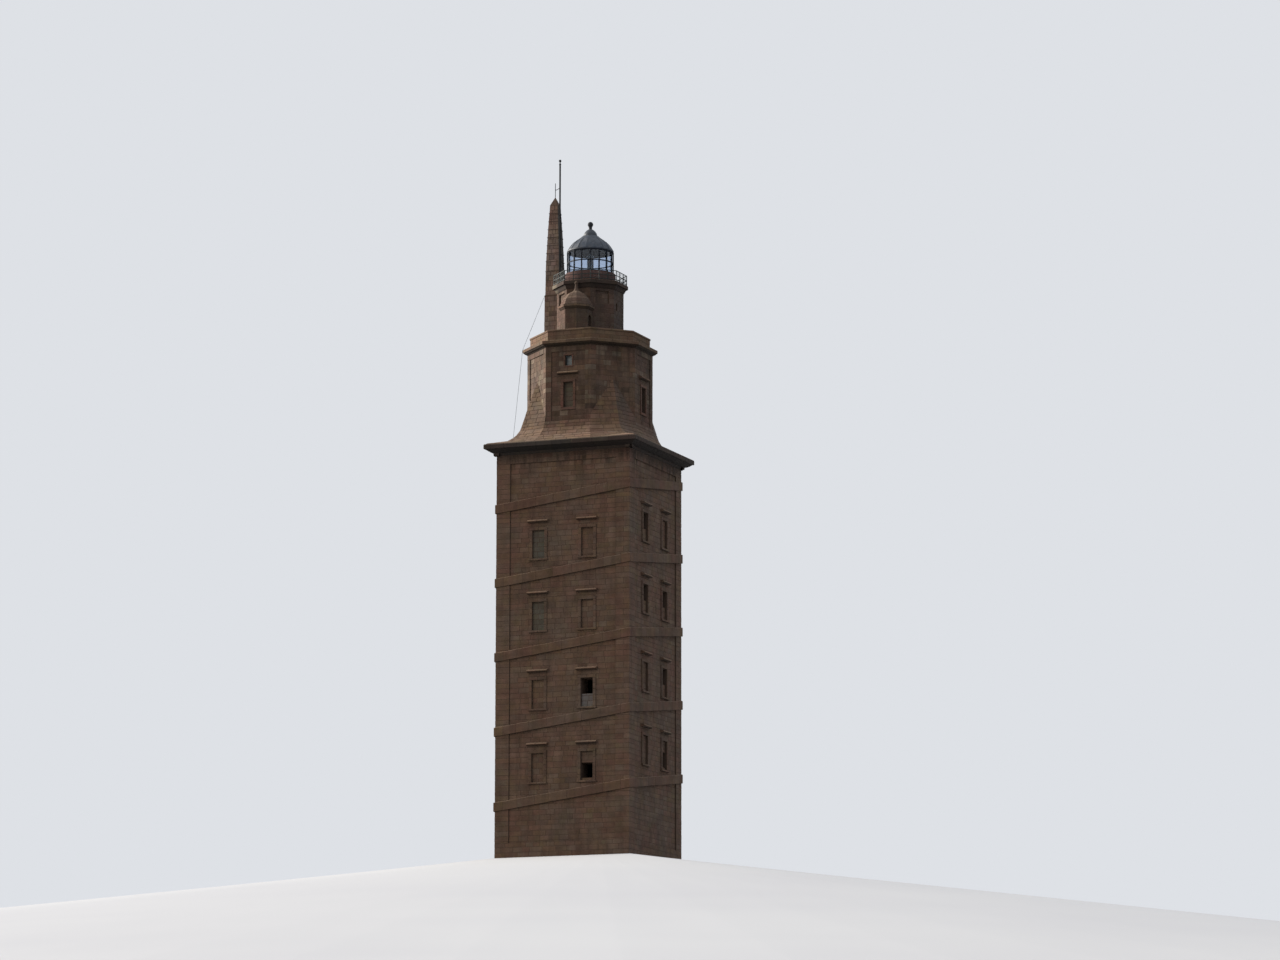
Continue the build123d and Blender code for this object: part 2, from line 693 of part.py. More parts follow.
def turret_walls():
    ring = octagon_ring(TURRET_APOTHEM, TURRET_APOTHEM - TURRET_WALL, OCTAGON_CORNICE_TOP,
                        TURRET_WALL_TOP)
    return at_turret(ring - turret_window()) - drum_core()


def turret_moulding():
    slope_top = TURRET_WALL_TOP + TURRET_MOULDING_SLOPE
    low = tapered(8, TURRET_APOTHEM, TURRET_WALL_TOP, TURRET_APOTHEM + TURRET_SLOPE_REACH, slope_top)
    slab = tower(8, TURRET_APOTHEM + TURRET_MOULDING_REACH, slope_top, TURRET_MOULDING_TOP)
    return at_turret(low + slab) - drum_core()


def turret_roof():
    """A faceted roof with a small round pinnacle and a ball."""
    shape = Part()
    for low, high in zip(TURRET_ROOF, TURRET_ROOF[1:]):
        shape += tapered(8, low[0] * TURRET_APOTHEM, TURRET_MOULDING_TOP + low[1],
                         high[0] * TURRET_APOTHEM, TURRET_MOULDING_TOP + high[1])
    ball_height = TURRET_ROOF_TOP + PINNACLE_HEIGHT
    shape += drum_of(PINNACLE_RADIUS, TURRET_ROOF_TOP - PINNACLE_RADIUS, ball_height)
    shape += Pos(0, 0, ball_height * M) * Sphere(PINNACLE_BALL * M)
    return at_turret(shape) - drum_core()


def gallery_slab():
    bracket = tapered(8, DRUM_APOTHEM + BRACKET_FOOT, DRUM_TOP,
                      GALLERY_APOTHEM - BRACKET_SET_BACK, GALLERY_BOTTOM)
    return bracket + tower(8, GALLERY_APOTHEM, GALLERY_BOTTOM, GALLERY_TOP)


def railing():
    bar = RAIL_BAR / 2
    shape = Part()
    for height in (RAIL_LOW, (GALLERY_TOP + RAIL_TOP) / 2, RAIL_TOP - RAIL_BAR):
        shape += octagon_ring(RAIL_APOTHEM + bar, RAIL_APOTHEM - bar, height, height + RAIL_BAR)
    half_side = RAIL_APOTHEM * TURN_EIGHTH
    for k in range(8):
        for place in (-half_side, -half_side / 3, half_side / 3):
            post = block(place - bar, place + bar, -RAIL_APOTHEM - bar, -RAIL_APOTHEM + bar,
                         GALLERY_TOP, RAIL_TOP)
            shape += turned(post, 45 * k)
    return shape


save(drum_walls(), "drum_walls")
save(group([turned(drum_infill(), angle) for angle in (45, 135, 225, 315)]), "drum_window_infills")
save(turret_walls(), "turret_walls")
save(turret_moulding(), "turret_moulding")
save(turret_roof(), "turret_roof")
save(gallery_slab(), "gallery_slab")
save(railing(), "gallery_railing")


# Lantern
def glazing_corners(radius):
    step = 2 * math.pi / GLAZING_SIDES
    return [(radius * math.cos(step * k), radius * math.sin(step * k)) for k in range(GLAZING_SIDES)]


def glazing_ring(z0, z1):
    outer = upright(glazing_corners(GLAZING_RADIUS), z0, z1)
    return outer - upright(glazing_corners(GLAZING_RADIUS - GLAZING_BAR), z0 - CUT, z1 + CUT)


def lantern_frame():
    middle = (LANTERN_BASE_TOP + GLAZING_TOP) / 2
    shape = glazing_ring(LANTERN_BASE_TOP, LANTERN_BASE_TOP + GLAZING_SILL)
    shape += glazing_ring(middle - GLAZING_BAR / 2, middle + GLAZING_BAR / 2)
    shape += glazing_ring(GLAZING_TOP - GLAZING_SILL, GLAZING_TOP)
    post = block(GLAZING_RADIUS - GLAZING_BAR, GLAZING_RADIUS, -GLAZING_BAR / 2, GLAZING_BAR / 2,
                 LANTERN_BASE_TOP, GLAZING_TOP)
    for k in range(GLAZING_SIDES):
        shape += turned(post, 360 / GLAZING_SIDES * k)
    return shape


def lantern_glass():
    """Flat panes just inside the bars, a little apart behind each post."""
    half_turn = math.pi / GLAZING_SIDES
    face = (GLAZING_RADIUS - GLAZING_BAR) * math.cos(half_turn) - GLASS_CLEARANCE
    back = face - GLASS_THICKNESS
    half_width = back * math.tan(half_turn) - GLASS_CLEARANCE
    glass = block(back, face, -half_width, half_width, LANTERN_BASE_TOP, GLAZING_TOP)
    step = 360 / GLAZING_SIDES
    return [turned(glass, step * (k + 0.5)) for k in range(GLAZING_SIDES)]


def dome():
    """A thin curved shell on a flat ring that rests on the glazing."""
    outer = [(DOME_RADIUS * out, DOME_FOOT + DOME_HEIGHT * up) for out, up in DOME_CURVE]
    inner = [(max(r - 1.3 * DOME_THICKNESS, VENT_HOLE), z - DOME_THICKNESS) for r, z in outer]
    skin = Spline(*[(r * M, 0, z * M) for r, z in outer])
    lining = Spline(*[(r * M, 0, z * M) for r, z in inner])
    hole_edge = (VENT_HOLE * M, 0, DOME_TOP * M)
    top = Line(skin @ 1, hole_edge) + Line(hole_edge, lining @ 1)
    foot = Line(lining @ 0, skin @ 0)
    shell = revolve(make_face(skin + top + lining + foot), Axis.Z)
    eave = drum_of(EAVE_OUTER, GLAZING_TOP, DOME_FOOT)
    return eave - drum_of(EAVE_INNER, GLAZING_TOP - CUT, DOME_FOOT + CUT) + shell


def dome_finial():
    """A solid cowl over the dome's hole, with a neck and a ball on top."""
    rounded = [(r * M, 0, (DOME_TOP + up) * M) for r, up in COWL_CURVE]
    top = rounded[-1][2]
    base = (0, 0, DOME_TOP * M)
    rim = (COWL_RIM * M, 0, DOME_TOP * M)
    skin = Line(base, rim) + Line(rim, rounded[0]) + Spline(*rounded)
    shape = revolve(make_face(skin + Line(rounded[-1], (0, 0, top)) + Line((0, 0, top), base)), Axis.Z)
    ball_height = DOME_TOP + FINIAL_BALL_HEIGHT
    shape += drum_of(VENT_HOLE, DOME_TOP - COWL_PLUG, DOME_TOP)
    shape += drum_of(NECK_RADIUS, DOME_TOP + COWL_CURVE[-1][1], ball_height)
    shape += Pos(0, 0, ball_height * M) * Sphere(FINIAL_BALL * M)
    return shape


def optic_pedestal():
    foot_radius, foot_height = PEDESTAL_FOOT
    foot = drum_of(foot_radius, GALLERY_TOP, GALLERY_TOP + foot_height)
    return foot + drum_of(PEDESTAL_RADIUS, GALLERY_TOP, PEDESTAL_TOP)


def optic():
    """A barrel between two rims, with a round lens on each of its four sides."""
    low = PEDESTAL_TOP + OPTIC_GAP
    cap_radius, cap_height = OPTIC_CAP
    cap_bottom = OPTIC_TOP - cap_height
    shape = drum_of(OPTIC_RADIUS, low, low + OPTIC_RIM)
    shape += drum_of(BEARING_RADIUS, PEDESTAL_TOP + BEARING_GAP, low)
    shape += drum_of(OPTIC_BARREL, low + OPTIC_RIM, cap_bottom - OPTIC_RIM)
    shape += drum_of(OPTIC_RADIUS, cap_bottom - OPTIC_RIM, cap_bottom)
    shape += drum_of(cap_radius, cap_bottom, OPTIC_TOP)
    lens_middle = OPTIC_RADIUS - LENS_THICKNESS / 2
    lens = Cylinder(LENS_RADIUS * M, LENS_THICKNESS * M)
    lens = Pos(0, -lens_middle * M, (low + OPTIC_TOP) / 2 * M) * Rot(90, 0, 0) * lens
    for angle in (0, 90, 180, 270):
        shape += turned(lens, angle)
    return shape


lantern_base = drum_of(LANTERN_BASE_RADIUS, GALLERY_TOP, LANTERN_BASE_TOP)
lantern_base -= drum_of(LANTERN_BASE_INNER, GALLERY_TOP - CUT, LANTERN_BASE_TOP + CUT)
lantern_dome = dome()
save(lantern_base, "lantern_base")
save(lantern_frame(), "lantern_frame")
save(group(lantern_glass()), "lantern_glass")
save(lantern_dome, "lantern_dome")
save(dome_finial() - lantern_dome, "dome_finial")
save(optic_pedestal(), "optic_pedestal")
save(optic(), "optic")


# Obelisk and mast
def at_obelisk(shape):
    return Pos(OBELISK_X * M, OBELISK_Y * M, 0) * shape


def square_stages(profile):
    """A square shaft through the given widths at the given heights above the terrace."""
    shape = Part()
    for (low, z0), (high, z1) in zip(profile, profile[1:]):
        shape += tapered(4, low / 2, OCTAGON_CORNICE_TOP + z0, high / 2, OCTAGON_CORNICE_TOP + z1)
    return shape


def obelisk():
    shape = square_stages(OBELISK_FOOT) + square_stages(OBELISK_SHAFT) + square_stages(OBELISK_POINT)
    width, height = OBELISK_SHAFT[0]
    ledge_bottom = OCTAGON_CORNICE_TOP + height
    shape += tower(4, width / 2 + OBELISK_LEDGE, ledge_bottom, ledge_bottom + OBELISK_LEDGE_HEIGHT)
    return at_obelisk(shape)


def bar_between(height, width):
    """A level square bar from the mast to the obelisk's axis."""
    start = Vector(MAST_X * M, MAST_Y * M, height * M)
    run = Vector(OBELISK_X * M, OBELISK_Y * M, height * M) - start
    plane = Plane(origin=start, z_dir=run)
    return extrude(plane * Rectangle(width * M, width * M), amount=run.length)


def pole():
    """The mast's pole, with a small knob near its top and a ball on its tip."""
    r = MAST_RADIUS
    knob = math.sqrt(KNOB_RADIUS ** 2 - r ** 2)
    ball = math.sqrt(BALL_RADIUS ** 2 - r ** 2)
    points = [
        (0, MAST_BOTTOM),
        (r, MAST_BOTTOM),
        (r, KNOB_HEIGHT - knob),
        (r, KNOB_HEIGHT + knob),
        (r, BALL_HEIGHT - ball),
        (0, BALL_HEIGHT + BALL_RADIUS),
    ]
    foot, edge, under, over, neck, tip = [(x * M, 0, z * M) for x, z in points]
    profile = Line(foot, edge) + Line(edge, under)
    profile += ThreePointArc(under, (KNOB_RADIUS * M, 0, KNOB_HEIGHT * M), over)
    profile += Line(over, neck)
    profile += ThreePointArc(neck, (BALL_RADIUS * M, 0, BALL_HEIGHT * M), tip)
    profile += Line(tip, foot)
    return Pos(MAST_X * M, MAST_Y * M, 0) * revolve(make_face(profile), Axis.Z)


def mast():
    """The pole, its brackets on the obelisk, and an arm to a rod on the obelisk's point."""
    shape = pole()
    for drop in MAST_BRACKETS:
        shape += bar_between(OBELISK_TOP - drop, BRACKET_BAR) - obelisk()
    shape += bar_between(ARM_HEIGHT, ARM_BAR)
    half = ARM_BAR / 2
    return shape + at_obelisk(block(-half, half, -half, half, OBELISK_TOP, ROD_TOP))


def conductor_wire():
    """A taut wire in two straight runs, bent over the tip of the octagon's cornice."""
    width, ledge_height = OBELISK_SHAFT[0]
    ledge = width / 2 + OBELISK_LEDGE
    ledge_middle = OCTAGON_CORNICE_TOP + ledge_height + OBELISK_LEDGE_HEIGHT / 2
    tip = OCTAGON_CORNICE + WIRE_RADIUS
    ridge_out, ridge_up = WIRE_FOOT
    diagonal = (OCTAGON_APOTHEM + ridge_out) / math.sqrt(2)
    places = [
        (OBELISK_X - ledge, OBELISK_Y - ledge, ledge_middle),
        (-tip, -tip * TURN_EIGHTH, OCTAGON_CORNICE_TOP),
        (-diagonal, -diagonal, CORNICE_TOP + ridge_up),
    ]
    top, bend, low = [Vector(x * M, y * M, z * M) for x, y, z in places]
    shape = Pos(*bend) * Sphere(WIRE_RADIUS * M)
    for end in (top, low):
        run = end - bend
        shape += extrude(Plane(origin=bend, z_dir=run) * Circle(WIRE_RADIUS * M), amount=run.length)
    return shape - obelisk() - octagon_cornice() - turned(skirt_corner(), 315)


save(obelisk(), "obelisk")
save(mast(), "mast")
save(conductor_wire(), "conductor_wire")
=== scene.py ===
import math
import random
from itertools import pairwise
import bpy
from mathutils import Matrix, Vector


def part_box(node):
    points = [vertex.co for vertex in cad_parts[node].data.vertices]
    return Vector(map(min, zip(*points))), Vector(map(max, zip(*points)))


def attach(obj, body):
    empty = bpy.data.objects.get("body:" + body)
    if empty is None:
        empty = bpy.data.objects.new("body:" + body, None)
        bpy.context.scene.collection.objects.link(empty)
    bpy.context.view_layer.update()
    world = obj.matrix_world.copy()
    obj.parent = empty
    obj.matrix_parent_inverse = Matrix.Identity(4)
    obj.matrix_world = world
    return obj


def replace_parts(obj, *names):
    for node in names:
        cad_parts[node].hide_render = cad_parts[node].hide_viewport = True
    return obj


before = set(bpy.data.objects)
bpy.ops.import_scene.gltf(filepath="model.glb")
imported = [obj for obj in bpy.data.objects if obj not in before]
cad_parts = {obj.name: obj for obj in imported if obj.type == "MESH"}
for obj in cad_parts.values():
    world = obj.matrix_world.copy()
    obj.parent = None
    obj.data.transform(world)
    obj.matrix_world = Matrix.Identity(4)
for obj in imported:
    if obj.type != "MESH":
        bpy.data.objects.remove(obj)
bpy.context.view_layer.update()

# Sizes below are those of the real building in metres, and the model is made to this scale.
# The front is the -Y side, the right is +X. Faces are numbered from the front to the right.
SCALE = 0.5
TOWER = "lighthouse"
TURNING = "optic"


def real(node):
    """Lowest and highest corner of a node, in metres of the real building."""
    low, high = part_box(node)
    return low / SCALE, high / SCALE


# Sizes read from the frame
SHAFT = real("corner_pilasters")[1].x
BASE_TOP, FRIEZE_BOTTOM = [corner.z for corner in real("corner_pilasters")]
WALL_TOP = real("wall_front")[1].z
CORNICE_TOP = real("square_cornice")[1].z
OCTAGON, OCTAGON_TOP = real("octagon_main_walls")[1].x, real("octagon_main_walls")[1].z
OCTAGON_CORNICE, TERRACE = real("octagon_cornice")[1].x, real("octagon_cornice")[1].z
PARAPET_TOP = real("parapet")[1].z
DRUM, DRUM_TOP = real("drum_walls")[1].x, real("drum_walls")[1].z
GALLERY, GALLERY_TOP = real("gallery_slab")[1].x, real("gallery_slab")[1].z
RAIL_TOP = real("gallery_railing")[1].z
TURRET, TURRET_TOP = real("turret_walls")[1].x, real("turret_walls")[1].z
TURRET_CENTRE = (0.0, real("turret_walls")[0].y + TURRET)
TURRET_ROOF_BOTTOM = real("turret_roof")[0].z
LANTERN_BASE, LANTERN_BASE_TOP = real("lantern_base")[1].x, real("lantern_base")[1].z
GLAZING, GLAZING_TOP = real("lantern_frame")[1].x, real("lantern_frame")[1].z
OPTIC_LOW, OPTIC_HIGH = real("optic")
OBELISK_LOW, OBELISK_HIGH = real("obelisk")
OBELISK_CENTRE = ((OBELISK_LOW.x + OBELISK_HIGH.x) / 2, (OBELISK_LOW.y + OBELISK_HIGH.y) / 2)

# Shaft: sunk panels, climbing band and windows
PANEL = SHAFT - 0.10
PILASTER = 1.20
PANEL_EDGE = SHAFT - PILASTER
STOREY = 6.12
RISE = STOREY / 4
BAND_START = 3.79
BAND_HEIGHT = 0.75
BAND = SHAFT + 0.10
BAND_FACES = 20
BAND_CORNER = 0.70
BAND_SECTION = ((-0.22, 0.0), (-0.02, 0.0), (0.0, 0.02), (0.0, BAND_HEIGHT - 0.06),
                (-0.015, BAND_HEIGHT - 0.02), (-0.05, BAND_HEIGHT), (-0.22, BAND_HEIGHT))
SIDE_LIFT = (0.0, RISE, 2 * RISE, -RISE)
COLUMN = 2.15
ROW_SILLS = (24.38, 18.46, 12.05, 6.06)
RECESS_HALF = 0.525
RECESS_HEIGHT = 2.35
RECESS_DEPTH = 0.12
SEAM = 0.02
FRAME_MARGIN = 0.26
FRAME_TOP = 0.24
FRAME_COURSES = 5
SILL_HEIGHT = 0.16
SILL_SHARE = 1.07
SILL_PROUD = 0.08
HOOD_ABOVE = 2.98
HOOD_HALF = 0.90
HOOD_JOINT = 0.05
HOOD_PROFILE = ((0.0, 0.0), (0.26, 0.0), (0.35, 0.08), (0.36, 0.11), (0.30, 0.20), (0.0, 0.27))

# Open parts of windows, as heights above the sill; those of a side are listed by column and row
UPPER_HOLE = (1.07, 2.32)
LOWER_HOLE = (0.22, 1.45)
NARROW_SIDE = {(1, 2): UPPER_HOLE, (1, 3): LOWER_HOLE}
WIDE_SIDE = {(-1, 0): UPPER_HOLE, (-1, 1): UPPER_HOLE, (1, 1): UPPER_HOLE, (1, 2): UPPER_HOLE,
             (1, 3): LOWER_HOLE}
OPEN_HOLES = (NARROW_SIDE, WIDE_SIDE, NARROW_SIDE, WIDE_SIDE)

# Entrance
DOOR_HALF = 0.80
DOOR_LOW, DOOR_TOP = [corner.z for corner in real("entrance_door")]
DOOR_SURROUND = 0.30
DOOR_EDGE = DOOR_HALF + DOOR_SURROUND
DOOR_PROUD = 0.08
DOOR_LEAF = PANEL - 0.45
DOOR_BOARDS = 8

# Square cornice: how far out from the shaft and up from its top, for the stones and for their core
CORNICE_STONES = ((-0.30, 0.0), (0.0, 0.0), (0.05, 0.02), (0.12, 0.16), (0.13, 0.20), (0.20, 0.21),
                  (0.39, 0.26), (0.57, 0.36), (0.73, 0.50), (0.84, 0.51), (0.85, 0.54), (0.85, 0.83),
                  (0.81, 0.90), (-0.30, 0.90))
CORNICE_CORE = ((-1.60, 0.0), (-0.01, 0.0), (0.11, 0.20), (0.19, 0.22), (0.71, 0.52), (0.83, 0.53),
                (0.83, 0.82), (0.79, 0.88), (-1.60, 0.88))

# Octagon
EIGHTH = math.tan(math.pi / 8)
OCTAGON_HALF = OCTAGON * EIGHTH
OCTAGON_PANEL = OCTAGON - 0.08
OCTAGON_STRIP = 0.50
OCTAGON_FRIEZE = OCTAGON_TOP - 0.42
CORNER_PANEL_BOTTOM = CORNICE_TOP + 4.20
PLAIN_FACES = (1, 5)
TALL_WINDOW = (0.425, CORNICE_TOP + 3.00, CORNICE_TOP + 5.10)
SMALL_WINDOW = (0.31, CORNICE_TOP + 6.48, CORNICE_TOP + 7.34)
BLIND_WINDOW_DEPTH = 0.33
OCTAGON_HOOD = ((0.0, 0.0), (0.28, 0.09), (0.30, 0.12), (0.30, 0.18), (0.28, 0.21), (0.0, 0.30))
OCTAGON_HOOD_BOTTOM = CORNICE_TOP + 5.72
OCTAGON_HOOD_HALF = 0.92

# Skirt: how far out and how far up its sides and the ridges of its corners go
MAIN_SKIRT = ((0.06, 1.90), (0.19, 1.35), (0.56, 0.70), (1.26, 0.06))
CORNER_RIDGE = ((-0.08, 5.60), (0.72, 3.40), (1.10, 2.30), (1.24, 1.90), (1.45, 1.35), (1.74, 0.97),
                (2.05, 0.70), (2.57, 0.41), (4.45, 0.06))
CORNER_EDGE_HEIGHT = 2.30
CORE_SET_BACK = 0.02
SKIRT_BOTTOM = CORNICE_TOP + MAIN_SKIRT[-1][1]
MAIN_SKIRT_TOP = CORNICE_TOP + MAIN_SKIRT[0][1]
EDGE_TOP = CORNICE_TOP + CORNER_EDGE_HEIGHT
RIDGE_TOP = CORNICE_TOP + CORNER_RIDGE[0][1]

# Drum, turret, lantern and obelisk; a window is half its width, its sill and its head
DRUM_WINDOW = (0.60, TERRACE + 3.55, TERRACE + 4.58)
INFILL_SET_BACK = 0.14
DRUM_SLIT = (-0.605, -0.335, TERRACE + 3.10, TERRACE + 3.70)
TURRET_WINDOW = (0.33, TERRACE + 1.35, TERRACE + 2.35)
TURRET_ROOF = ((1.044, 0.0), (0.895, 0.50), (0.563, 1.03), (0.083, 1.37))
OBELISK_PROFILE = ((0.0, 0.68), (4.95, 0.65), (4.951, 0.61), (7.60, 0.58), (10.70, 0.45), (12.78, 0.33))
OBELISK_LEDGES = (4.98, 7.10, 7.96, 8.65, 9.33, 10.02, 10.71, 11.40, 12.10)
OBELISK_RING = ((-0.05, -0.03), (0.03, -0.03), (0.05, 0.0), (0.04, 0.03), (-0.05, 0.06))
GLAZING_SIDES = 16
DOME_SIDES = 16
DOME_SHEETS = ((1.915, 0.0), (1.83, 0.14), (1.73, 0.30), (1.58, 0.50), (1.38, 0.70), (1.13, 0.89),
               (0.92, 1.04), (0.73, 1.19), (0.66, 1.27))
DOME_FOOT = GLAZING_TOP + 0.10
DOME_TOP = real("lantern_dome")[1].z
SHEET_DEPTH = (0.03, 0.02)
SEAM_WIDTH = 0.035
BEAD_PROUD = 0.012
POST_STRIP = (0.065, 0.05)
LEVEL_STRIP = (0.05, 0.08)
NET_COLUMNS = 18
NET_ROWS = 7
NET_WIRE = 0.006
PINNACLE = ((0.02, -0.16), (0.30, -0.16), (0.22, 0.0), (0.155, 0.14), (0.12, 0.34), (0.115, 0.50),
            (0.15, 0.56), (0.155, 0.64), (0.11, 0.72), (0.02, 0.76))
LENS_RIBS = 12
MAST_BALL = 0.11
MAST_KNOB = 0.30
MAST_SLEEVE = 0.07
VENT_BALL = 0.235
VENT_STEM = 0.62

# Stones: how far they stand out, the joints between them and their worn edges
PROUD = 0.014
SKIRT_PROUD = 0.018
JOINT = 0.012
CHAMFER = 0.014
SINK = 0.012
COURSE = 0.42
STONE_LENGTH = 0.85
SMALLEST_STONE = 0.06
JOINT_TRIES = 5
CORNER_SPLIT = 0.42
LIFT_RANGE = (0.65, 1.2)
UNEVEN = 0.12
BACKING_PROUD = 0.010
MOULDING_PROUD = 0.012
LEVEL_GAP = 0.05
STEP_GAP = 0.12
SLOPE_STEP = 0.02

# Arms of corner stones: the longer and the shorter one change sides from course to course
MOULDING_ARM = 0.60
SHAFT_ARMS = (0.90, 0.50)
PARAPET_ARMS = (0.80, 0.50)
DRUM_ARMS = (0.44, 0.28)
TURRET_ARMS = (0.165, 0.12)
OBELISK_ARMS = (0.42, 0.24)
SKIRT_ARMS = (0.55, 0.30)

# Camera and floor
VIEW_SIDE = math.radians(22.09)
VIEW_UP = math.radians(9.84)
VIEW_TURN = math.radians(-0.595)
VIEW_ROLL = math.radians(-0.06)
VIEW_DISTANCE = 407.5
EYE_HEIGHT = -38.98
FOCAL_PIXELS = 5000
PHOTO_WIDTH = 1280
SENSOR = 36
FLOOR_RINGS = (0.0, 0.5, 1.5, 4.0, 10.0, 25.0, 60.0, 150.0, 400.0, 900.0)
FLOOR_STEPS = 96
FLOOR_FALL = 0.14


# Gathering stones into one object
class Masonry:
    """Many small closed stones that become one object, with a tint for each stone."""

    def __init__(self, name, slot, seed):
        self.name = name
        self.slot = slot
        self.random = random.Random(seed)
        self.points = []
        self.faces = []
        self.tints = []

    def new_tint(self):
        """Three random values of a stone: its hue, its shade and its patina."""
        pick = self.random
        return (pick.random(), min(1.0, max(0.0, pick.gauss(0.5, 0.17))), pick.random())

    def add(self, points, faces, tint, shown):
        """Adds points and the faces between them; shown is 1 on the open face and 0 at a joint."""
        start = len(self.points)
        self.points.extend(points)
        self.faces.extend([tuple(start + index for index in face) for face in faces])
        self.tints.extend([(*tint, value) for value in shown])

    def stone(self, place, start, end, low, high, proud=PROUD, deep=False):
        """One stone between two ends, each a face's number and a distance along that face.

        place turns a face, x, a height and a distance out into a point. A deep stone has upright sides.
        """
        low, high = low + JOINT / 2, high - JOINT / 2
        (first, x0), (last, x1) = (start[0], start[1] + JOINT / 2), (end[0], end[1] - JOINT / 2)
        edge = min(CHAMFER, (high - low) / 4)
        lift = proud * (1 if deep else self.random.uniform(*LIFT_RANGE))
        base, shoulder, top = -SINK, lift - edge, lift
        columns = [(first, x0, base), (first, x0 + edge, top)]
        rows = [(low, base), (low + edge, top), (high - edge, top), (high, base)]
        if deep:
            columns.insert(1, (first, x0, shoulder))
            rows = [(low, base), (low, shoulder)] + rows[1:3] + [(high, shoulder), (high, base)]
        columns += [(face, None, top) for face in range(first, last)]
        columns += [(last, x1 - edge, top)]
        columns += [(last, x1, shoulder)] * deep
        columns += [(last, x1, base)]
        points = []
        shown = []
        for z, row_out in rows:
            for face, x, column_out in columns:
                out = min(row_out, column_out)
                if out == top:
                    out += self.random.uniform(-UNEVEN, UNEVEN) * min(proud, PROUD)
                points.append(place(face, x, z, out))
                shown.append(1.0 if out > shoulder + edge / 2 or deep and out > base else 0.0)
        faces = grid_faces(len(rows), len(columns))
        faces += back_faces(len(rows), len(columns))
        self.add(points, faces, self.new_tint(), shown)

    def moulded(self, place, start, end, profile):
        """A stone with a moulded section, given as a closed loop of distance out and height."""
        (first, x0), (last, x1) = (start[0], start[1] + JOINT / 2), (end[0], end[1] - JOINT / 2)
        middle = [sum(values) / len(profile) for values in zip(*profile)]
        worn = [tuple(value + (m - value) * 0.05 for value, m in zip(point, middle)) for point in profile]
        columns = [(first, x0, worn), (first, x0 + CHAMFER, profile)]
        columns += [(face, None, profile) for face in range(first, last)]
        columns += [(last, x1 - CHAMFER, profile), (last, x1, worn)]
        count, wide = len(profile), len(columns)
        points = []
        for k in range(count):
            for face, x, section in columns:
                out, z = section[k]
                points.append(place(face, x, z, out))
        faces = grid_faces(count, wide, rows_close=True)
        faces.append(tuple(k * wide for k in range(count)))
        faces.append(tuple(k * wide + wide - 1 for k in reversed(range(count))))
        shown = [0.0 if c in (0, wide - 1) else 1.0 for _ in range(count) for c in range(wide)]
        self.add(points, faces, self.new_tint(), shown)

    def finish(self, material):
        """Makes the piece, with the tints of its stones as a colour for each point."""
        piece = made_of(self.name, self.points, self.faces, material, self.slot)
        colours = piece.data.attributes.new("stone", "FLOAT_COLOR", "POINT")
        colours.data.foreach_set("color", [value for tint in self.tints for value in tint])
        return piece


def grid_faces(rows, columns, rows_close=False, columns_close=False):
    """Faces between rows of points; either way the grid may close on itself."""
    faces = []
    for r in range(rows if rows_close else rows - 1):
        here, above = r * columns, (r + 1) % rows * columns
        for c in range(columns if columns_close else columns - 1):
            after = (c + 1) % columns
            faces.append((here + c, here + after, above + after, above + c))
    return faces


def turned_over(faces):
    """The same faces, looking the other way."""
    return [face[:1] + face[:0:-1] for face in faces]


def back_faces(rows, columns):
    """Closes a stone behind: one face for each stretch between two columns."""
    faces = []
    top = (rows - 1) * columns
    for c in range(columns - 1):
        loop = [c, top + c, top + c + 1]
        if c == columns - 2:
            loop += [r * columns + columns - 1 for r in range(rows - 2, 0, -1)]
        loop.append(c + 1)
        if c == 0:
            loop = loop[:1] + [r * columns for r in range(1, rows - 1)] + loop[1:]
        faces.append(tuple(loop))
    return faces


def shown_object(name, data):
    """Puts a mesh, a camera or a lamp in the scene."""
    made = bpy.data.objects.new(name, data)
    bpy.context.scene.collection.objects.link(made)
    return made


def mesh_object(name, points, faces, material):
    """Makes an object of points in real metres."""
    mesh = bpy.data.meshes.new(name)
    mesh.from_pydata([[value * SCALE for value in point] for point in points], [], faces)
    mesh.validate()
    mesh.materials.append(material)
    return shown_object(name, mesh)


def made_of(name, points, faces, material, slot, body=TOWER):
    """Makes a piece of the tower, or of the body that turns, with its material; slot is not used."""
    piece = mesh_object(name, points, faces, material)
    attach(piece, body)
    return piece


# Places on the faces of a tower
def around(sides, face, x, y, centre=(0.0, 0.0)):
    """A point of the front, turned round the centre to another face."""
    angle = 2 * math.pi / sides * face
    cos, sin = math.cos(angle), math.sin(angle)
    return centre[0] + x * cos - y * sin, centre[1] + x * sin + y * cos


class Walls:
    """The faces of a regular upright tower, whose apothem may change with the height."""

    def __init__(self, sides, apothem, centre=(0.0, 0.0)):
        self.sides = sides
        self.reach = apothem if callable(apothem) else (lambda z: apothem)
        self.centre = centre
        self.spread = math.tan(math.pi / sides)

    def half(self, z):
        """Half the width of a face at one height."""
        return self.reach(z) * self.spread

    def place(self, face, x, z, out):
        """A point at x along a face, at a height and a distance out; x None is the corner after it."""
        distance = self.reach(z) + out
        if x is None:
            x = distance * self.spread
        return (*around(self.sides, face, x, -distance, self.centre), z)


def along(profile, z):
    """The value of a profile of (height, value) at one height."""
    for (z0, a), (z1, b) in pairwise(profile):
        if z <= z1:
            return a + (b - a) * (z - z0) / (z1 - z0)
    return profile[-1][1]


# Laying courses
def uneven_parts(start, end, length, spread, pick):
    """Where a stretch is cut into parts of about one length."""
    count = max(1, round((end - start) / length))
    weights = [pick.uniform(1.0 - spread, 1.0 + spread) for _ in range(count)]
    cuts = [start]
    for weight in weights:
        cuts.append(cuts[-1] + (end - start) * weight / sum(weights))
    return cuts


def course_levels(low, high, height, pick):
    return uneven_parts(low, high, height, 0.15, pick)


def levels_between(levels, low, high):
    """Both heights, and the levels that lie well between them."""
    return [low] + [level for level in levels if low + LEVEL_GAP < level < high - LEVEL_GAP] + [high]


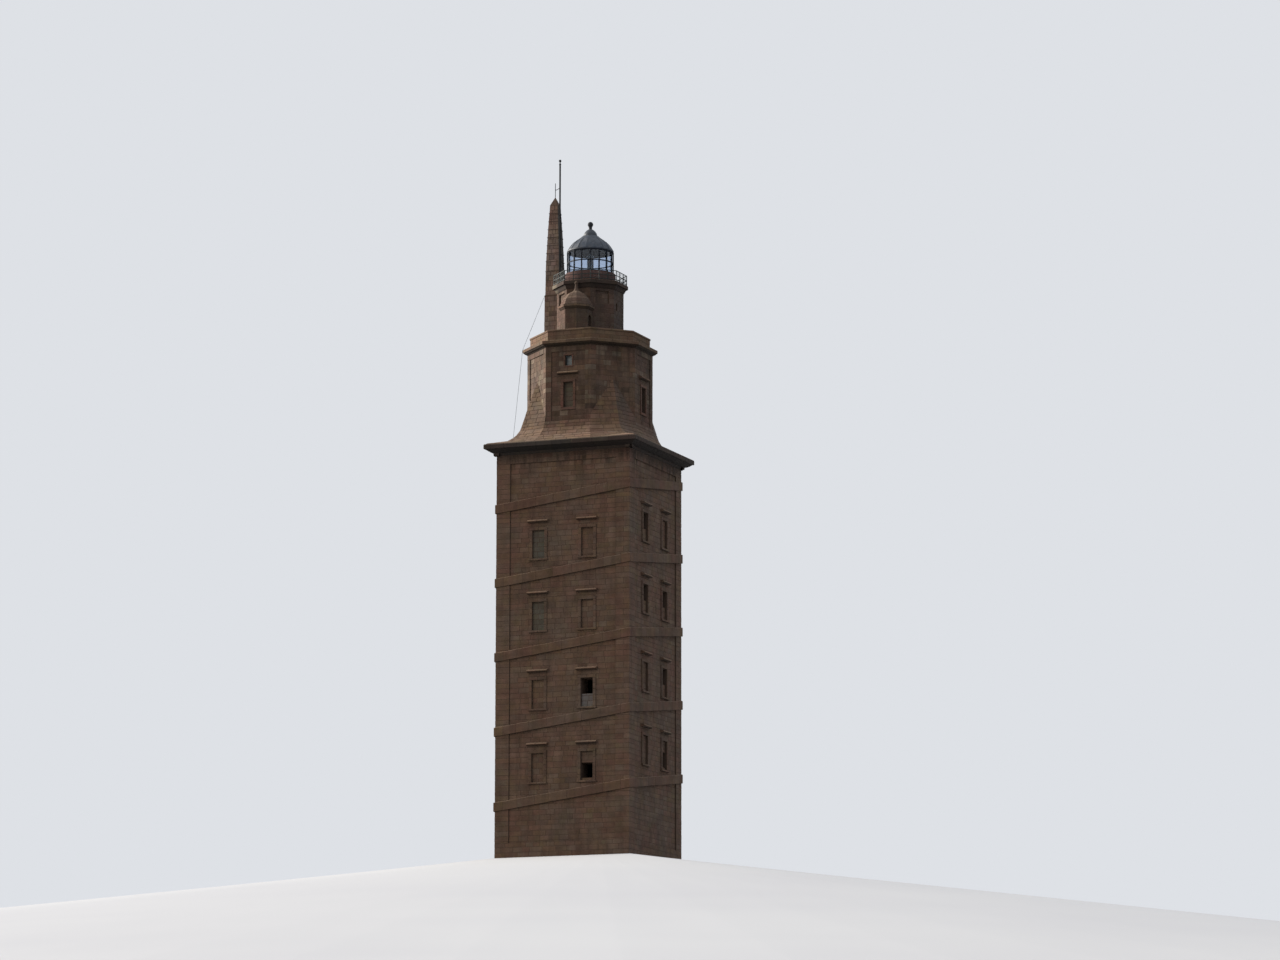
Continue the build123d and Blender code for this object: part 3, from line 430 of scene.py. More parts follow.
def joints(x0, x1, length, pick, below):
    """Upright joints of a course that keep off those of the course below."""
    best, best_gap = None, -1.0
    for _ in range(JOINT_TRIES):
        cuts = uneven_parts(x0, x1, length * pick.uniform(0.85, 1.15), 0.3, pick)
        gap = min([abs(a - b) for a in cuts[1:-1] for b in below], default=1.0)
        if gap > best_gap:
            best, best_gap = cuts, gap
    return best


def without(stone, hole):
    """What is left of a rectangle (x0, x1, z0, z1) beside, under and over a hole."""
    x0, x1, z0, z1 = stone
    a0, a1, b0, b1 = hole
    if a1 <= x0 or a0 >= x1 or b1 <= z0 or b0 >= z1:
        return [stone]
    low, high = max(x0, a0), min(x1, a1)
    parts = [(x0, a0, z0, z1), (a1, x1, z0, z1), (low, high, z0, b0), (low, high, b1, z1)]
    return [(a, b, c, d) for a, b, c, d in parts if b - a > SMALLEST_STONE and d - c > SMALLEST_STONE]


def lay_course(masonry, place, face, cuts, low, high, holes, proud=PROUD):
    """One course of stones between upright joints, with holes left out."""
    for a, b in pairwise(cuts):
        stones = [(a, b, low, high)]
        for hole in holes:
            stones = [part for stone in stones for part in without(stone, hole)]
        for x0, x1, z0, z1 in stones:
            masonry.stone(place, (face, x0), (face, x1), z0, z1, proud)


def lay_field(masonry, place, face, x0, x1, levels, holes=(), length=STONE_LENGTH, proud=PROUD):
    """Courses of stones on one face, with holes left out."""
    below = []
    for low, high in pairwise(levels):
        cuts = joints(x0, x1, length, masonry.random, below)
        below = cuts[1:-1]
        lay_course(masonry, place, face, cuts, low, high, holes, proud)


def lay_squared(masonry, place, face, stones):
    """Single squared stones, each given as its ends, its heights and how far it stands out."""
    for x0, x1, low, high, proud in stones:
        masonry.stone(place, (face, x0), (face, x1), low, high, proud, deep=True)


def jambs(x, inner, outer, low, high, count, proud):
    """The upright stones on both sides of an opening, for lay_squared."""
    stones = []
    for k in range(count):
        z0, z1 = low + (high - low) * k / count, low + (high - low) * (k + 1) / count
        stones += [(x - outer, x - inner, z0, z1, proud), (x + inner, x + outer, z0, z1, proud)]
    return stones


def lay_corner(masonry, walls, face, low, high, arm, row):
    """The stones of a corner, as far on this face as on the next; each second row has two."""
    half = walls.half((low + high) / 2)
    start, end = (face, half - arm), (face + 1, arm - half)
    if row % 2:
        split = half - arm * CORNER_SPLIT
        masonry.stone(walls.place, start, (face, split), low, high)
        start = (face, split)
    masonry.stone(walls.place, start, end, low, high)


def lay_tower(masonry, walls, levels, corner, holes=None, length=STONE_LENGTH, keep=None):
    """Courses round a whole tower, with corner stones that are long and short in turn."""
    below = {face: [] for face in range(walls.sides)}
    for row, (low, high) in enumerate(pairwise(levels)):
        half = walls.half((low + high) / 2)
        long_end, short_end = corner if row % 2 else corner[::-1]
        for face in range(walls.sides):
            if keep and not keep(walls.place(face, 0, low, 0)):
                continue
            masonry.stone(walls.place, (face, half - long_end), (face + 1, short_end - half), low, high)
            x0, x1 = short_end - half, half - long_end
            if x1 - x0 < SMALLEST_STONE:
                continue
            cuts = joints(x0, x1, length, masonry.random, below[face])
            below[face] = cuts[1:-1]
            lay_course(masonry, walls.place, face, cuts, low, high, (holes or {}).get(face, ()))


def lay_moulding(masonry, walls, profile, length=1.5, keep=None):
    """Moulded stones round a tower; they turn each corner in one piece."""
    half = walls.half(0) + max(out for out, z in profile) * walls.spread
    corner = min(MOULDING_ARM, half * 0.45)
    for face in range(walls.sides):
        if keep and not keep(walls.place(face, 0, 0, profile[0][0])):
            continue
        masonry.moulded(walls.place, (face, half - corner), (face + 1, corner - half), profile)
        cuts = joints(corner - half, half - corner, length, masonry.random, [])
        for a, b in pairwise(cuts):
            masonry.moulded(walls.place, (face, a), (face, b), profile)


def moved(profile, out, up):
    """A profile of distances out and heights, moved to its place."""
    return [(out + a, up + b) for a, b in profile]


def hole_of(window):
    """The rectangle that a window of half a width, a sill and a head leaves in a wall."""
    half, low, high = window
    return (-half, half, low, high)


# Materials
def paint(red, green, blue):
    """A colour given as it looks on a screen, from 0 to 255, as the shader needs it."""
    shares = [value / 255 for value in (red, green, blue)]
    return (*[s / 12.92 if s <= 0.04045 else ((s + 0.055) / 1.055) ** 2.4 for s in shares], 1.0)


class Recipe:
    """Builds one procedural material, node by node."""

    def __init__(self, name):
        self.material = bpy.data.materials.new(name)
        self.material.use_nodes = True
        self.tree = self.material.node_tree
        self.tree.nodes.clear()
        self.shader = self.node("ShaderNodeBsdfPrincipled")
        output = self.node("ShaderNodeOutputMaterial")
        self.link(self.shader.outputs[0], output.inputs["Surface"])
        coordinates = self.node("ShaderNodeTexCoord")
        self.position = coordinates.outputs["Object"]
        self.normal = coordinates.outputs["Normal"]

    def node(self, kind, **settings):
        made = self.tree.nodes.new(kind)
        for name, value in settings.items():
            setattr(made, name, value)
        return made

    def link(self, source, target):
        self.tree.links.new(source, target)

    def feed(self, target, value):
        if isinstance(value, (int, float, tuple)):
            target.default_value = value
        else:
            self.link(value, target)

    def noise(self, scale, detail=3.0, rough=0.55, stretch=(1.0, 1.0, 1.0), shift=0.0):
        mapping = self.node("ShaderNodeMapping")
        mapping.inputs["Scale"].default_value = stretch
        mapping.inputs["Location"].default_value = (shift, shift, shift)
        self.link(self.position, mapping.inputs["Vector"])
        made = self.node("ShaderNodeTexNoise")
        made.inputs["Scale"].default_value = scale
        made.inputs["Detail"].default_value = detail
        made.inputs["Roughness"].default_value = rough
        self.link(mapping.outputs[0], made.inputs["Vector"])
        return made.outputs["Fac"]

    def band(self, value, low, high, to_low=0.0, to_high=1.0):
        """Maps a value from low..high to to_low..to_high, held at both ends."""
        made = self.node("ShaderNodeMapRange")
        for name, number in zip(("From Min", "From Max", "To Min", "To Max"), (low, high, to_low, to_high)):
            made.inputs[name].default_value = number
        self.link(value, made.inputs["Value"])
        return made.outputs[0]

    def ramp(self, value, colours):
        made = self.node("ShaderNodeValToRGB")
        stops = made.color_ramp.elements
        while len(stops) < len(colours):
            stops.new(0.5)
        for k, colour in enumerate(colours):
            stops[k].position = k / (len(colours) - 1)
            stops[k].color = colour
        self.link(value, made.inputs[0])
        return made.outputs["Color"]

    def mix(self, share, a, b, blend="MIX"):
        made = self.node("ShaderNodeMix", data_type="RGBA", blend_type=blend)
        self.feed(made.inputs[0], share)
        self.feed(made.inputs[6], a)
        self.feed(made.inputs[7], b)
        return made.outputs[2]

    def math(self, operation, a, b=0.0):
        made = self.node("ShaderNodeMath", operation=operation)
        self.feed(made.inputs[0], a)
        self.feed(made.inputs[1], b)
        return made.outputs[0]

    def grey(self, value):
        """A colour whose three parts are one value, to multiply another colour by."""
        made = self.node("ShaderNodeCombineColor")
        for socket in made.inputs:
            self.link(value, socket)
        return made.outputs[0]

    def times(self, colour, factor):
        """A colour multiplied by one value, or by another colour."""
        if not isinstance(factor, tuple):
            factor = self.grey(factor)
        return self.mix(1.0, colour, factor, "MULTIPLY")

    def shade(self, colour, value, low, high, at_low, at_high):
        """Darkens or lightens a colour by a value that runs from low to high."""
        return self.times(colour, self.band(value, low, high, at_low, at_high))

    def stain(self, colour, other, value, low, high, most=1.0):
        """Mixes another colour in as a value runs from low to high."""
        return self.mix(self.band(value, low, high, 0.0, most), colour, other)

    def part(self, vector, name):
        """The X, Y or Z of the place or of the direction that the surface faces."""
        made = self.node("ShaderNodeSeparateXYZ")
        self.link(vector, made.inputs[0])
        return made.outputs[name]

    def bump(self, height, distance, strength=1.0):
        made = self.node("ShaderNodeBump")
        made.inputs["Strength"].default_value = strength
        made.inputs["Distance"].default_value = distance
        self.link(height, made.inputs["Height"])
        self.link(made.outputs[0], self.shader.inputs["Normal"])

    def finish(self, colour, rough, **numbers):
        self.feed(self.shader.inputs["Base Color"], colour)
        self.feed(self.shader.inputs["Roughness"], rough)
        for name, value in numbers.items():
            self.shader.inputs[name.replace("_", " ")].default_value = value
        return self.material


def tones(red, green, blue):
    """The usual tone of a wall, a redder one, an ochre one and a greyer one."""
    usual = (red, green, blue)
    redder = (red * 1.03, green * 0.93, blue * 0.95)
    ochre = (red * 1.02, green * 1.01, blue * 0.92)
    greyer = (red * 0.96, green * 1.01, blue * 1.06)
    return [paint(*tone) for tone in (usual, redder, ochre, greyer)]


def stone_material(name, tone, stains=1.0, soot_and_shade=None, right_shade=0.0, joint=0.88, under=0.40,
                   top_highlight=0.40, single=0.20, left=None, pale=0.0):
    """Granite in courses, with stains and rain streaks.

    soot_and_shade is the height where a darkening starts, where it is full and how dark: painted shade
    under a cornice or the gallery and on the upper skirt, with dark drips along the streaks. left is where
    painted sunlight, a paler tone, starts and is full, along X. single and pale are how far single stones
    differ, joint is the tone of joints, top_highlight is a painted highlight on faces that look up, under
    is painted shade on faces that look down, and right_shade is painted shade on faces that look to the
    right.
    """
    recipe = Recipe(name)
    attribute = recipe.node("ShaderNodeAttribute", attribute_name="stone")
    parts = recipe.node("ShaderNodeSeparateColor")
    recipe.link(attribute.outputs["Color"], parts.inputs[0])
    tint, shade, patina = parts.outputs[0], parts.outputs[1], parts.outputs[2]
    usual, red, ochre, grey = tones(*tone)
    base = recipe.mix(0.35, recipe.ramp(tint, (usual, red, ochre, usual, grey)), usual)
    base = recipe.stain(base, red, recipe.noise(0.8, 4.0, 0.6), 0.42, 0.62, 0.75)
    base = recipe.stain(base, grey, recipe.noise(0.6, 4.0, 0.6, shift=7.0), 0.46, 0.66, 0.80)
    base = recipe.stain(base, ochre, recipe.noise(1.6, 4.0, 0.6, shift=13.0), 0.50, 0.70, 0.6)
    base = recipe.shade(base, shade, 0.0, 1.0, 1.0 - single, 1.0 + single)
    if pale:
        base = recipe.stain(base, paint(128, 116, 100), patina, 0.80, 0.86, pale)
    mottle = recipe.noise(1.9, 6.0, 0.62, shift=3.0)
    base = recipe.shade(base, mottle, 0.30, 0.70, 1.0 + 0.20 * stains, 1.0 - 0.22 * stains)
    layers = recipe.noise(1.0, 3.0, 0.6, (0.7, 0.7, 6.5), shift=5.0)
    base = recipe.shade(base, layers, 0.30, 0.70, 0.88, 1.12)
    rain = recipe.noise(1.0, 5.0, 0.62, (3.6, 3.6, 0.30))
    streak = recipe.band(rain, 0.45, 0.75, 1.0, 1.0 - 0.26 * stains)
    base = recipe.times(base, streak)
    mossy = recipe.times(base, (0.93, 1.05, 0.80, 1.0))
    base = recipe.stain(base, mossy, recipe.noise(1.5, 6.0, 0.68, shift=21.0), 0.50, 0.68, 0.55)
    lichen = recipe.band(recipe.noise(3.4, 6.0, 0.7, shift=2.0), 0.58, 0.70, 0.0, 0.35)
    base = recipe.mix(recipe.math("MULTIPLY", lichen, patina), base, paint(116, 108, 82))
    grain = recipe.noise(38.0, 4.0, 0.7)
    base = recipe.shade(base, grain, 0.30, 0.70, 0.90, 1.10)
    base = recipe.stain(base, paint(48, 42, 40), recipe.noise(210.0, 2.0, 0.6), 0.60, 0.72, 0.2)
    # Painted shade: darker towards the top of a wall under its cornice or the gallery, and on the upper
    # skirt, with dark drips along the streaks
    if soot_and_shade:
        start, full, depth = soot_and_shade
        height = recipe.part(recipe.position, "Z")
        height = recipe.math("ADD", height, recipe.band(streak, 0.74, 1.0, 0.30, -0.25))
        base = recipe.shade(base, height, start * SCALE, full * SCALE, 1.0, depth)
    # Painted light: along X, from where left starts to where it is full, the stone is mixed towards a pale
    # tone for a sunlit left side
    if left:
        start, full = left
        across = recipe.part(recipe.position, "X")
        base = recipe.stain(base, paint(118, 108, 92), across, start * SCALE, full * SCALE, 0.8)
    # Painted shade: faces that look to the right, away from the key sun, are mixed towards a dark greenish
    # grey
    if right_shade:
        base = recipe.stain(base, paint(54, 56, 54), recipe.part(recipe.normal, "X"), 0.4, 0.8, right_shade)
    up = recipe.part(recipe.normal, "Z")
    # Painted highlight: faces that look up are mixed towards a pale tone
    base = recipe.stain(base, paint(156, 134, 112), up, 0.40, 0.90, top_highlight)
    # Painted shade: faces that look down are darkened by the share under
    base = recipe.shade(base, up, -0.80, -0.20, under, 1.0)
    base = recipe.shade(base, attribute.outputs["Alpha"], 0.0, 0.75, joint, 1.0)
    relief = recipe.math("ADD", recipe.math("MULTIPLY", grain, 0.45), recipe.noise(9.0, 5.0, 0.65))
    recipe.bump(relief, 0.008, 0.7)
    return recipe.finish(base, recipe.band(grain, 0.3, 0.7, 0.95, 0.82), Specular_IOR_Level=0.25)


def plain_stone_material(name, tone, dark, scale=1.0):
    """Stone without single stones: joints seen behind the courses, slabs and floors."""
    recipe = Recipe(name)
    grain = recipe.noise(42.0, 4.0, 0.7)
    base = recipe.stain(tone, dark, recipe.noise(1.1 * scale, 5.0, 0.65), 0.35, 0.68)
    base = recipe.shade(base, grain, 0.3, 0.7, 0.85, 1.12)
    recipe.bump(recipe.math("ADD", grain, recipe.noise(7.0, 4.0, 0.6)), 0.008, 0.7)
    return recipe.finish(base, recipe.band(grain, 0.3, 0.7, 0.96, 0.85), Specular_IOR_Level=0.2)


def metal_material(name, tone, worn, rust=0.3, shine=0.6, above=None):
    """Painted metal with chalky patches and streaks; above is a height and the dark tone over it."""
    recipe = Recipe(name)
    patches = recipe.noise(7.0, 5.0, 0.65)
    base = recipe.stain(tone, worn, patches, 0.42, 0.62)
    if above:
        height, dark = above
        up = recipe.part(recipe.position, "Z")
        base = recipe.stain(base, dark, up, height * SCALE, height * SCALE + 0.02)
    streak = recipe.noise(3.0, 4.0, 0.6, (6.0, 6.0, 0.6))
    base = recipe.stain(base, paint(82, 60, 48), streak, 0.52, 0.70, rust)
    recipe.bump(recipe.noise(60.0, 3.0, 0.6), 0.002, 0.5)
    rough = recipe.band(patches, 0.35, 0.65, shine, min(1.0, shine + 0.25))
    return recipe.finish(base, rough, Specular_IOR_Level=0.3)


def dome_material(name, tone, worn, inside_shade):
    """The dome's painted sheets: chalky and streaked outside; inside, a near-black painted shade."""
    recipe = Recipe(name)
    patches = recipe.noise(4.0, 5.0, 0.65)
    base = recipe.stain(tone, worn, patches, 0.40, 0.64)
    runs = recipe.noise(2.0, 4.0, 0.6, (5.0, 5.0, 0.8))
    base = recipe.shade(base, runs, 0.36, 0.66, 1.15, 0.72)
    # Faces that look in, towards the lantern, take the near-black inside colour: painted shade
    outward = recipe.node("ShaderNodeVectorMath", operation="DOT_PRODUCT")
    middle = recipe.node("ShaderNodeVectorMath", operation="SUBTRACT")
    recipe.link(recipe.position, middle.inputs[0])
    middle.inputs[1].default_value = (0.0, 0.0, GLAZING_TOP * SCALE - 0.5)
    recipe.link(recipe.normal, outward.inputs[0])
    recipe.link(middle.outputs["Vector"], outward.inputs[1])
    base = recipe.mix(recipe.band(outward.outputs["Value"], -0.02, 0.02), inside_shade, base)
    recipe.bump(patches, 0.004, 0.4)
    return recipe.finish(base, recipe.band(patches, 0.35, 0.65, 0.50, 0.70), Specular_IOR_Level=0.35)


def wood_material(name, tone, dark):
    """Boards with a dark figure drawn out upwards."""
    recipe = Recipe(name)
    figure = recipe.noise(9.0, 5.0, 0.6, (4.0, 4.0, 0.35))
    recipe.bump(figure, 0.004, 0.6)
    base = recipe.stain(tone, dark, figure, 0.35, 0.65)
    return recipe.finish(base, recipe.band(figure, 0.3, 0.7, 0.6, 0.85))


def glass_material(name, tint, rough=0.0, film=0.03, clear=1.0):
    """Clear glass with a faint film of salt on it."""
    recipe = Recipe(name)
    dull = recipe.band(recipe.noise(5.0, 4.0, 0.6), 0.50, 0.75, rough, rough + film)
    recipe.shader.inputs["Transmission Weight"].default_value = clear
    recipe.shader.inputs["IOR"].default_value = 1.45
    return recipe.finish(recipe.shade(tint, recipe.noise(1.5), 0.3, 0.7, 0.94, 1.0), dull)


shaft_stone = stone_material("shaft_stone", (104, 84, 69), single=0.15, pale=0.14,
                             soot_and_shade=(FRIEZE_BOTTOM - 0.6, FRIEZE_BOTTOM + 0.25, 0.33))
infill_stone = stone_material("infill_stone", (108, 100, 94), 0.6)
band_stone = stone_material("band_stone", (101, 81, 66), top_highlight=0.5)
trim_stone = stone_material("trim_stone", (101, 82, 68))
hood_stone = stone_material("hood_stone", (112, 90, 73), 0.7, joint=0.95, top_highlight=0.55, under=0.25)
cornice_stone = stone_material("cornice_stone", (62, 54, 48), 0.8, joint=0.97, top_highlight=0.75, under=0.25)
octagon_stone = stone_material("octagon_stone", (93, 75, 62), 1.6, single=0.38, pale=0.40,
                               soot_and_shade=(OCTAGON_TOP - 1.5, OCTAGON_TOP + 0.2, 0.62))
mossy_stone = stone_material("mossy_stone", (92, 86, 74), 0.8)
surround_stone = stone_material("surround_stone", (100, 75, 63))
skirt_stone = stone_material("skirt_stone", (118, 96, 79), 0.9, right_shade=0.28, joint=0.96, top_highlight=0.25,
                             soot_and_shade=(CORNICE_TOP + 0.5, CORNICE_TOP + 2.3, 0.74))
parapet_stone = stone_material("parapet_stone", (105, 85, 67), 0.9, top_highlight=0.4, under=0.3)
octagon_cornice_stone = stone_material("octagon_cornice_stone", (98, 80, 63), 0.8, joint=0.97,
                                       top_highlight=0.6, under=0.14)
# left gives the gallery's left side painted sunlight, a paler tone
gallery_stone = stone_material("gallery_stone", (60, 49, 42), 0.8, joint=0.97, under=0.5,
                               left=(-2.1, -2.5))
drum_stone = stone_material("drum_stone", (88, 69, 57), 1.2, right_shade=0.4, single=0.3, pale=0.2,
                            soot_and_shade=(DRUM_TOP - 0.9, DRUM_TOP + 0.3, 0.62))
turret_stone = stone_material("turret_stone", (86, 69, 56), 1.0, right_shade=0.35, single=0.26)
roof_stone = stone_material("roof_stone", (92, 74, 61), 1.0, top_highlight=0.3)
obelisk_stone = stone_material("obelisk_stone", (126, 107, 95), 1.4, right_shade=0.85, single=0.36)
ring_stone = stone_material("ring_stone", (96, 82, 72), 1.0, right_shade=0.7)
wall_core = plain_stone_material("wall_core", paint(92, 75, 63), paint(80, 66, 55))
dark_core = plain_stone_material("dark_core", paint(56, 48, 43), paint(44, 38, 34))
floor_slabs = plain_stone_material("floor_slabs", paint(98, 88, 78), paint(78, 70, 62))
lantern_wall = plain_stone_material("lantern_wall", paint(98, 70, 64), paint(76, 58, 54), 2.0)
door_wood = wood_material("door_wood", paint(84, 62, 46), paint(52, 38, 30))
rail_metal = metal_material("rail_metal", paint(26, 36, 36), paint(40, 50, 48), 0.1)
rail_net = metal_material("rail_net", paint(84, 92, 92), paint(104, 110, 108), 0.1)
lantern_metal = metal_material("lantern_metal", paint(18, 24, 34), paint(28, 34, 44), 0.08, 0.7)
cowl_metal = metal_material("cowl_metal", paint(62, 68, 76), paint(78, 82, 86), 0.1, 0.5,
                            (DOME_TOP + 0.58, paint(22, 26, 34)))
# The last colour is painted shade for the dome's inside
dome_metal = dome_material("dome_metal", paint(52, 60, 72), paint(80, 84, 90), paint(14, 16, 20))
vent_metal = metal_material("vent_metal", paint(20, 24, 32), paint(34, 38, 44), 0.05, 0.6)
mast_metal = metal_material("mast_metal", paint(10, 12, 16), paint(18, 20, 24), 0.05, 0.9)
pane_glass = glass_material("pane_glass", paint(214, 225, 240))
optic_glass = glass_material("optic_glass", paint(60, 70, 74), 0.10)
window_glass = glass_material("window_glass", paint(120, 132, 134), 0.35, 0.1, 0.45)

CAD_MATERIALS = (
    (wall_core, """wall_front wall_right wall_back wall_left corner_pilasters door_surround
     octagon_main_walls octagon_corner_walls octagon_skirt_sides octagon_skirt_corners parapet
     drum_walls drum_window_infills turret_walls obelisk"""),
    (dark_core, "octagon_cornice turret_moulding gallery_slab"),
    (floor_slabs, "ground_floor upper_floors octagon_floor terrace_floor"),
    (roof_stone, "turret_roof"), (door_wood, "entrance_door"), (window_glass, "octagon_window_panes"),
    (lantern_wall, "lantern_base"), (lantern_metal, "lantern_frame optic_pedestal"),
    (pane_glass, "lantern_glass"), (dome_metal, "lantern_dome"), (cowl_metal, "dome_finial"),
    (rail_metal, "gallery_railing"), (mast_metal, "mast conductor_wire"),
)
for material, nodes in CAD_MATERIALS:
    for node in nodes.split():
        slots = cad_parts[node].data.materials
        slots.clear()
        slots.append(material)


# Shaft
shaft_levels = course_levels(0.0, WALL_TOP, COURSE, random.Random(11))
for step in (BASE_TOP, FRIEZE_BOTTOM):
    shaft_levels = [level for level in shaft_levels if abs(level - step) > STEP_GAP]
shaft_levels = sorted(shaft_levels + [BASE_TOP, FRIEZE_BOTTOM])


def windows_of(side):
    """Each window of a side: its middle, its sill and the part that is open, if any."""
    found = []
    for row, sill in enumerate(ROW_SILLS):
        for column in (-1, 1):
            found.append((column * COLUMN, sill + SIDE_LIFT[side], OPEN_HOLES[side].get((column, row))))
    return found


def window_holes(side):
    """What the windows and the entrance leave out of a side's courses."""
    holes = []
    for x, sill, _ in windows_of(side):
        left, right = x - RECESS_HALF - SEAM, x + RECESS_HALF + SEAM
        holes.append((left, right, sill - SEAM, sill + RECESS_HEIGHT + SEAM))
    if side == 2:
        holes.append((-DOOR_EDGE, DOOR_EDGE, -0.1, DOOR_TOP + DOOR_SURROUND))
    return holes


panel_walls = Walls(4, PANEL)
face_walls = Walls(4, SHAFT)
recess_walls = Walls(4, PANEL - RECESS_DEPTH)
infills = Masonry("window_infill_stones", "shaft_stone", 99)
mossy = Masonry("mossy_infill_stones", "shaft_stone", 98)
for side, name in enumerate(("front", "right", "back", "left")):
    masonry = Masonry(name + "_wall_stones", "shaft_stone", 100 + side)
    lay_field(masonry, panel_walls.place, side, -PANEL_EDGE, PANEL_EDGE,
              levels_between(shaft_levels, BASE_TOP, FRIEZE_BOTTOM), window_holes(side))
    for x, sill, opening in windows_of(side):
        left_out = [(x - 1, x + 1, sill + opening[0], sill + opening[1])] if opening else []
        filling = masonry
        if side == 0 and opening == UPPER_HOLE:
            filling = infills
        elif side == 0 and x < 0 and sill in ROW_SILLS[:2]:
            filling = mossy
        lay_field(filling, recess_walls.place, side, x - RECESS_HALF, x + RECESS_HALF,
                  levels_between(shaft_levels, sill, sill + RECESS_HEIGHT), left_out,
                  length=0.6, proud=BACKING_PROUD)
    masonry.finish(shaft_stone)
infills.finish(infill_stone)
mossy.finish(mossy_stone)

pilasters = Masonry("pilaster_stones", "pilaster_stone", 120)
for row, (low, high) in enumerate(pairwise(shaft_levels)):
    if BASE_TOP <= low < FRIEZE_BOTTOM:
        for face in range(4):
            lay_corner(pilasters, face_walls, face, low, high, PILASTER, row + face)
pilasters.finish(shaft_stone)

courses = Masonry("base_and_frieze_stones", "shaft_stone", 121)
door_gap = {2: [(-DOOR_EDGE, DOOR_EDGE, -0.1, BASE_TOP + 0.1)]}
lay_tower(courses, face_walls, levels_between(shaft_levels, 0.0, BASE_TOP), SHAFT_ARMS, door_gap)
lay_tower(courses, face_walls, levels_between(shaft_levels, FRIEZE_BOTTOM, WALL_TOP), SHAFT_ARMS)
courses.finish(shaft_stone)


def on_band(face, x, z, out):
    """The band climbs evenly round the shaft and dies into the frieze."""
    reach = BAND + out
    if x is None:
        x = reach
    height = BAND_START + RISE * (face + (x + SHAFT) / (2 * SHAFT)) + z
    return (*around(4, face, x, -reach), min(height, FRIEZE_BOTTOM))


bands = Masonry("band_stones", "band_stone", 130)
for face in range(-1, BAND_FACES - 1):
    cuts = joints(BAND_CORNER - SHAFT, SHAFT - BAND_CORNER, 1.45, bands.random, [])
    if face == BAND_FACES - 2:
        cuts = [cut for cut in cuts if on_band(face, cut, 0, 0)[2] < FRIEZE_BOTTOM - 0.1]
    for a, b in pairwise(cuts):
        bands.moulded(on_band, (face, a), (face, b), BAND_SECTION)
    if face < BAND_FACES - 2:
        bands.moulded(on_band, (face, SHAFT - BAND_CORNER), (face + 1, BAND_CORNER - SHAFT), BAND_SECTION)
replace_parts(bands.finish(band_stone),
            "ramp_band_front", "ramp_band_right", "ramp_band_back", "ramp_band_left")

surrounds = Masonry("window_surround_stones", "trim_stone", 140)
hoods = Masonry("window_hood_stones", "trim_stone", 141)
for side in range(4):
    for x, sill, _ in windows_of(side):
        outer, top, flush = RECESS_HALF + FRAME_MARGIN, sill + RECESS_HEIGHT, SHAFT - PANEL
        stones = jambs(x, RECESS_HALF, outer, sill, top, FRAME_COURSES, flush)
        for a, b in ((-outer, 0.0), (0.0, outer)):
            stones.append((x + a, x + b, top, top + FRAME_TOP, flush))
            stones.append((x + a * SILL_SHARE, x + b * SILL_SHARE, sill - SILL_HEIGHT, sill,
                           flush + SILL_PROUD))
        lay_squared(surrounds, panel_walls.place, side, stones)
        section = moved(HOOD_PROFILE, 0.0, sill + HOOD_ABOVE)
        for a, b in ((-HOOD_HALF, -HOOD_JOINT), (-HOOD_JOINT, HOOD_HALF)):
            hoods.moulded(panel_walls.place, (side, x + a), (side, x + b), section)
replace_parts(surrounds.finish(trim_stone), "window_frames")
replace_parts(hoods.finish(hood_stone), "window_hoods")

square_axis = Walls(4, 0.0)
cornice = Masonry("square_cornice_stones", "cornice_stone", 150)
lay_moulding(cornice, square_axis, moved(CORNICE_STONES, SHAFT, WALL_TOP))
for face in range(4):
    cornice.moulded(square_axis.place, (face, 0.0), (face + 1, 0.0), moved(CORNICE_CORE, SHAFT, WALL_TOP))
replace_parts(cornice.finish(cornice_stone), "square_cornice")

# Stones round the entrance on the back
entrance = Masonry("entrance_surround_stones", "trim_stone", 160)
for a, b in ((-DOOR_EDGE, -DOOR_HALF), (DOOR_HALF, DOOR_EDGE)):
    heights = course_levels(0.0, DOOR_TOP, 0.5, entrance.random)
    lay_squared(entrance, face_walls.place, 2,
                [(a, b, low, high, DOOR_PROUD) for low, high in pairwise(heights)])
heads = (-DOOR_EDGE, -0.3, 0.3, DOOR_EDGE)
lay_squared(entrance, face_walls.place, 2,
            [(a, b, DOOR_TOP, DOOR_TOP + DOOR_SURROUND, DOOR_PROUD) for a, b in pairwise(heads)])
entrance.finish(trim_stone)


# Skirt: its sides, and the ridged corners between them
def main_out(z):
    """How far the skirt's sides stand out from the octagon at one height."""
    if z > MAIN_SKIRT_TOP:
        return 0.0
    return along([(CORNICE_TOP + up, out) for out, up in reversed(MAIN_SKIRT)], max(z, SKIRT_BOTTOM))


def edge_point(z):
    """Where a side of the skirt meets its corner: x along the corner, distance out and height."""
    z = min(z, EDGE_TOP)
    reach = OCTAGON + main_out(z)
    return reach * EIGHTH, reach, z


def corner_triangles():
    """The flat triangles between a corner's ridge and its edge, on one side."""
    ridge = [(0.0, OCTAGON + out, CORNICE_TOP + up) for out, up in CORNER_RIDGE]
    triangles = []
    for above, below in pairwise(ridge):
        high_edge, low_edge = edge_point(above[2]), edge_point(below[2])
        triangles.append((above, below, low_edge))
        if high_edge != low_edge:
            triangles.append((above, low_edge, high_edge))
    return triangles


CORNER_TRIANGLES = corner_triangles()


def corner_outline(z):
    """Half of a corner cut level: points of x and distance out, from the ridge to the edge."""
    points = set()
    for triangle in CORNER_TRIANGLES:
        for (xa, ra, za), (xb, rb, zb) in zip(triangle, triangle[1:] + triangle[:1]):
            if za != zb and min(za, zb) <= z <= max(za, zb):
                share = (z - za) / (zb - za)
                points.add((round(xa + share * (xb - xa), 5), round(ra + share * (rb - ra), 5)))
    return sorted(points)


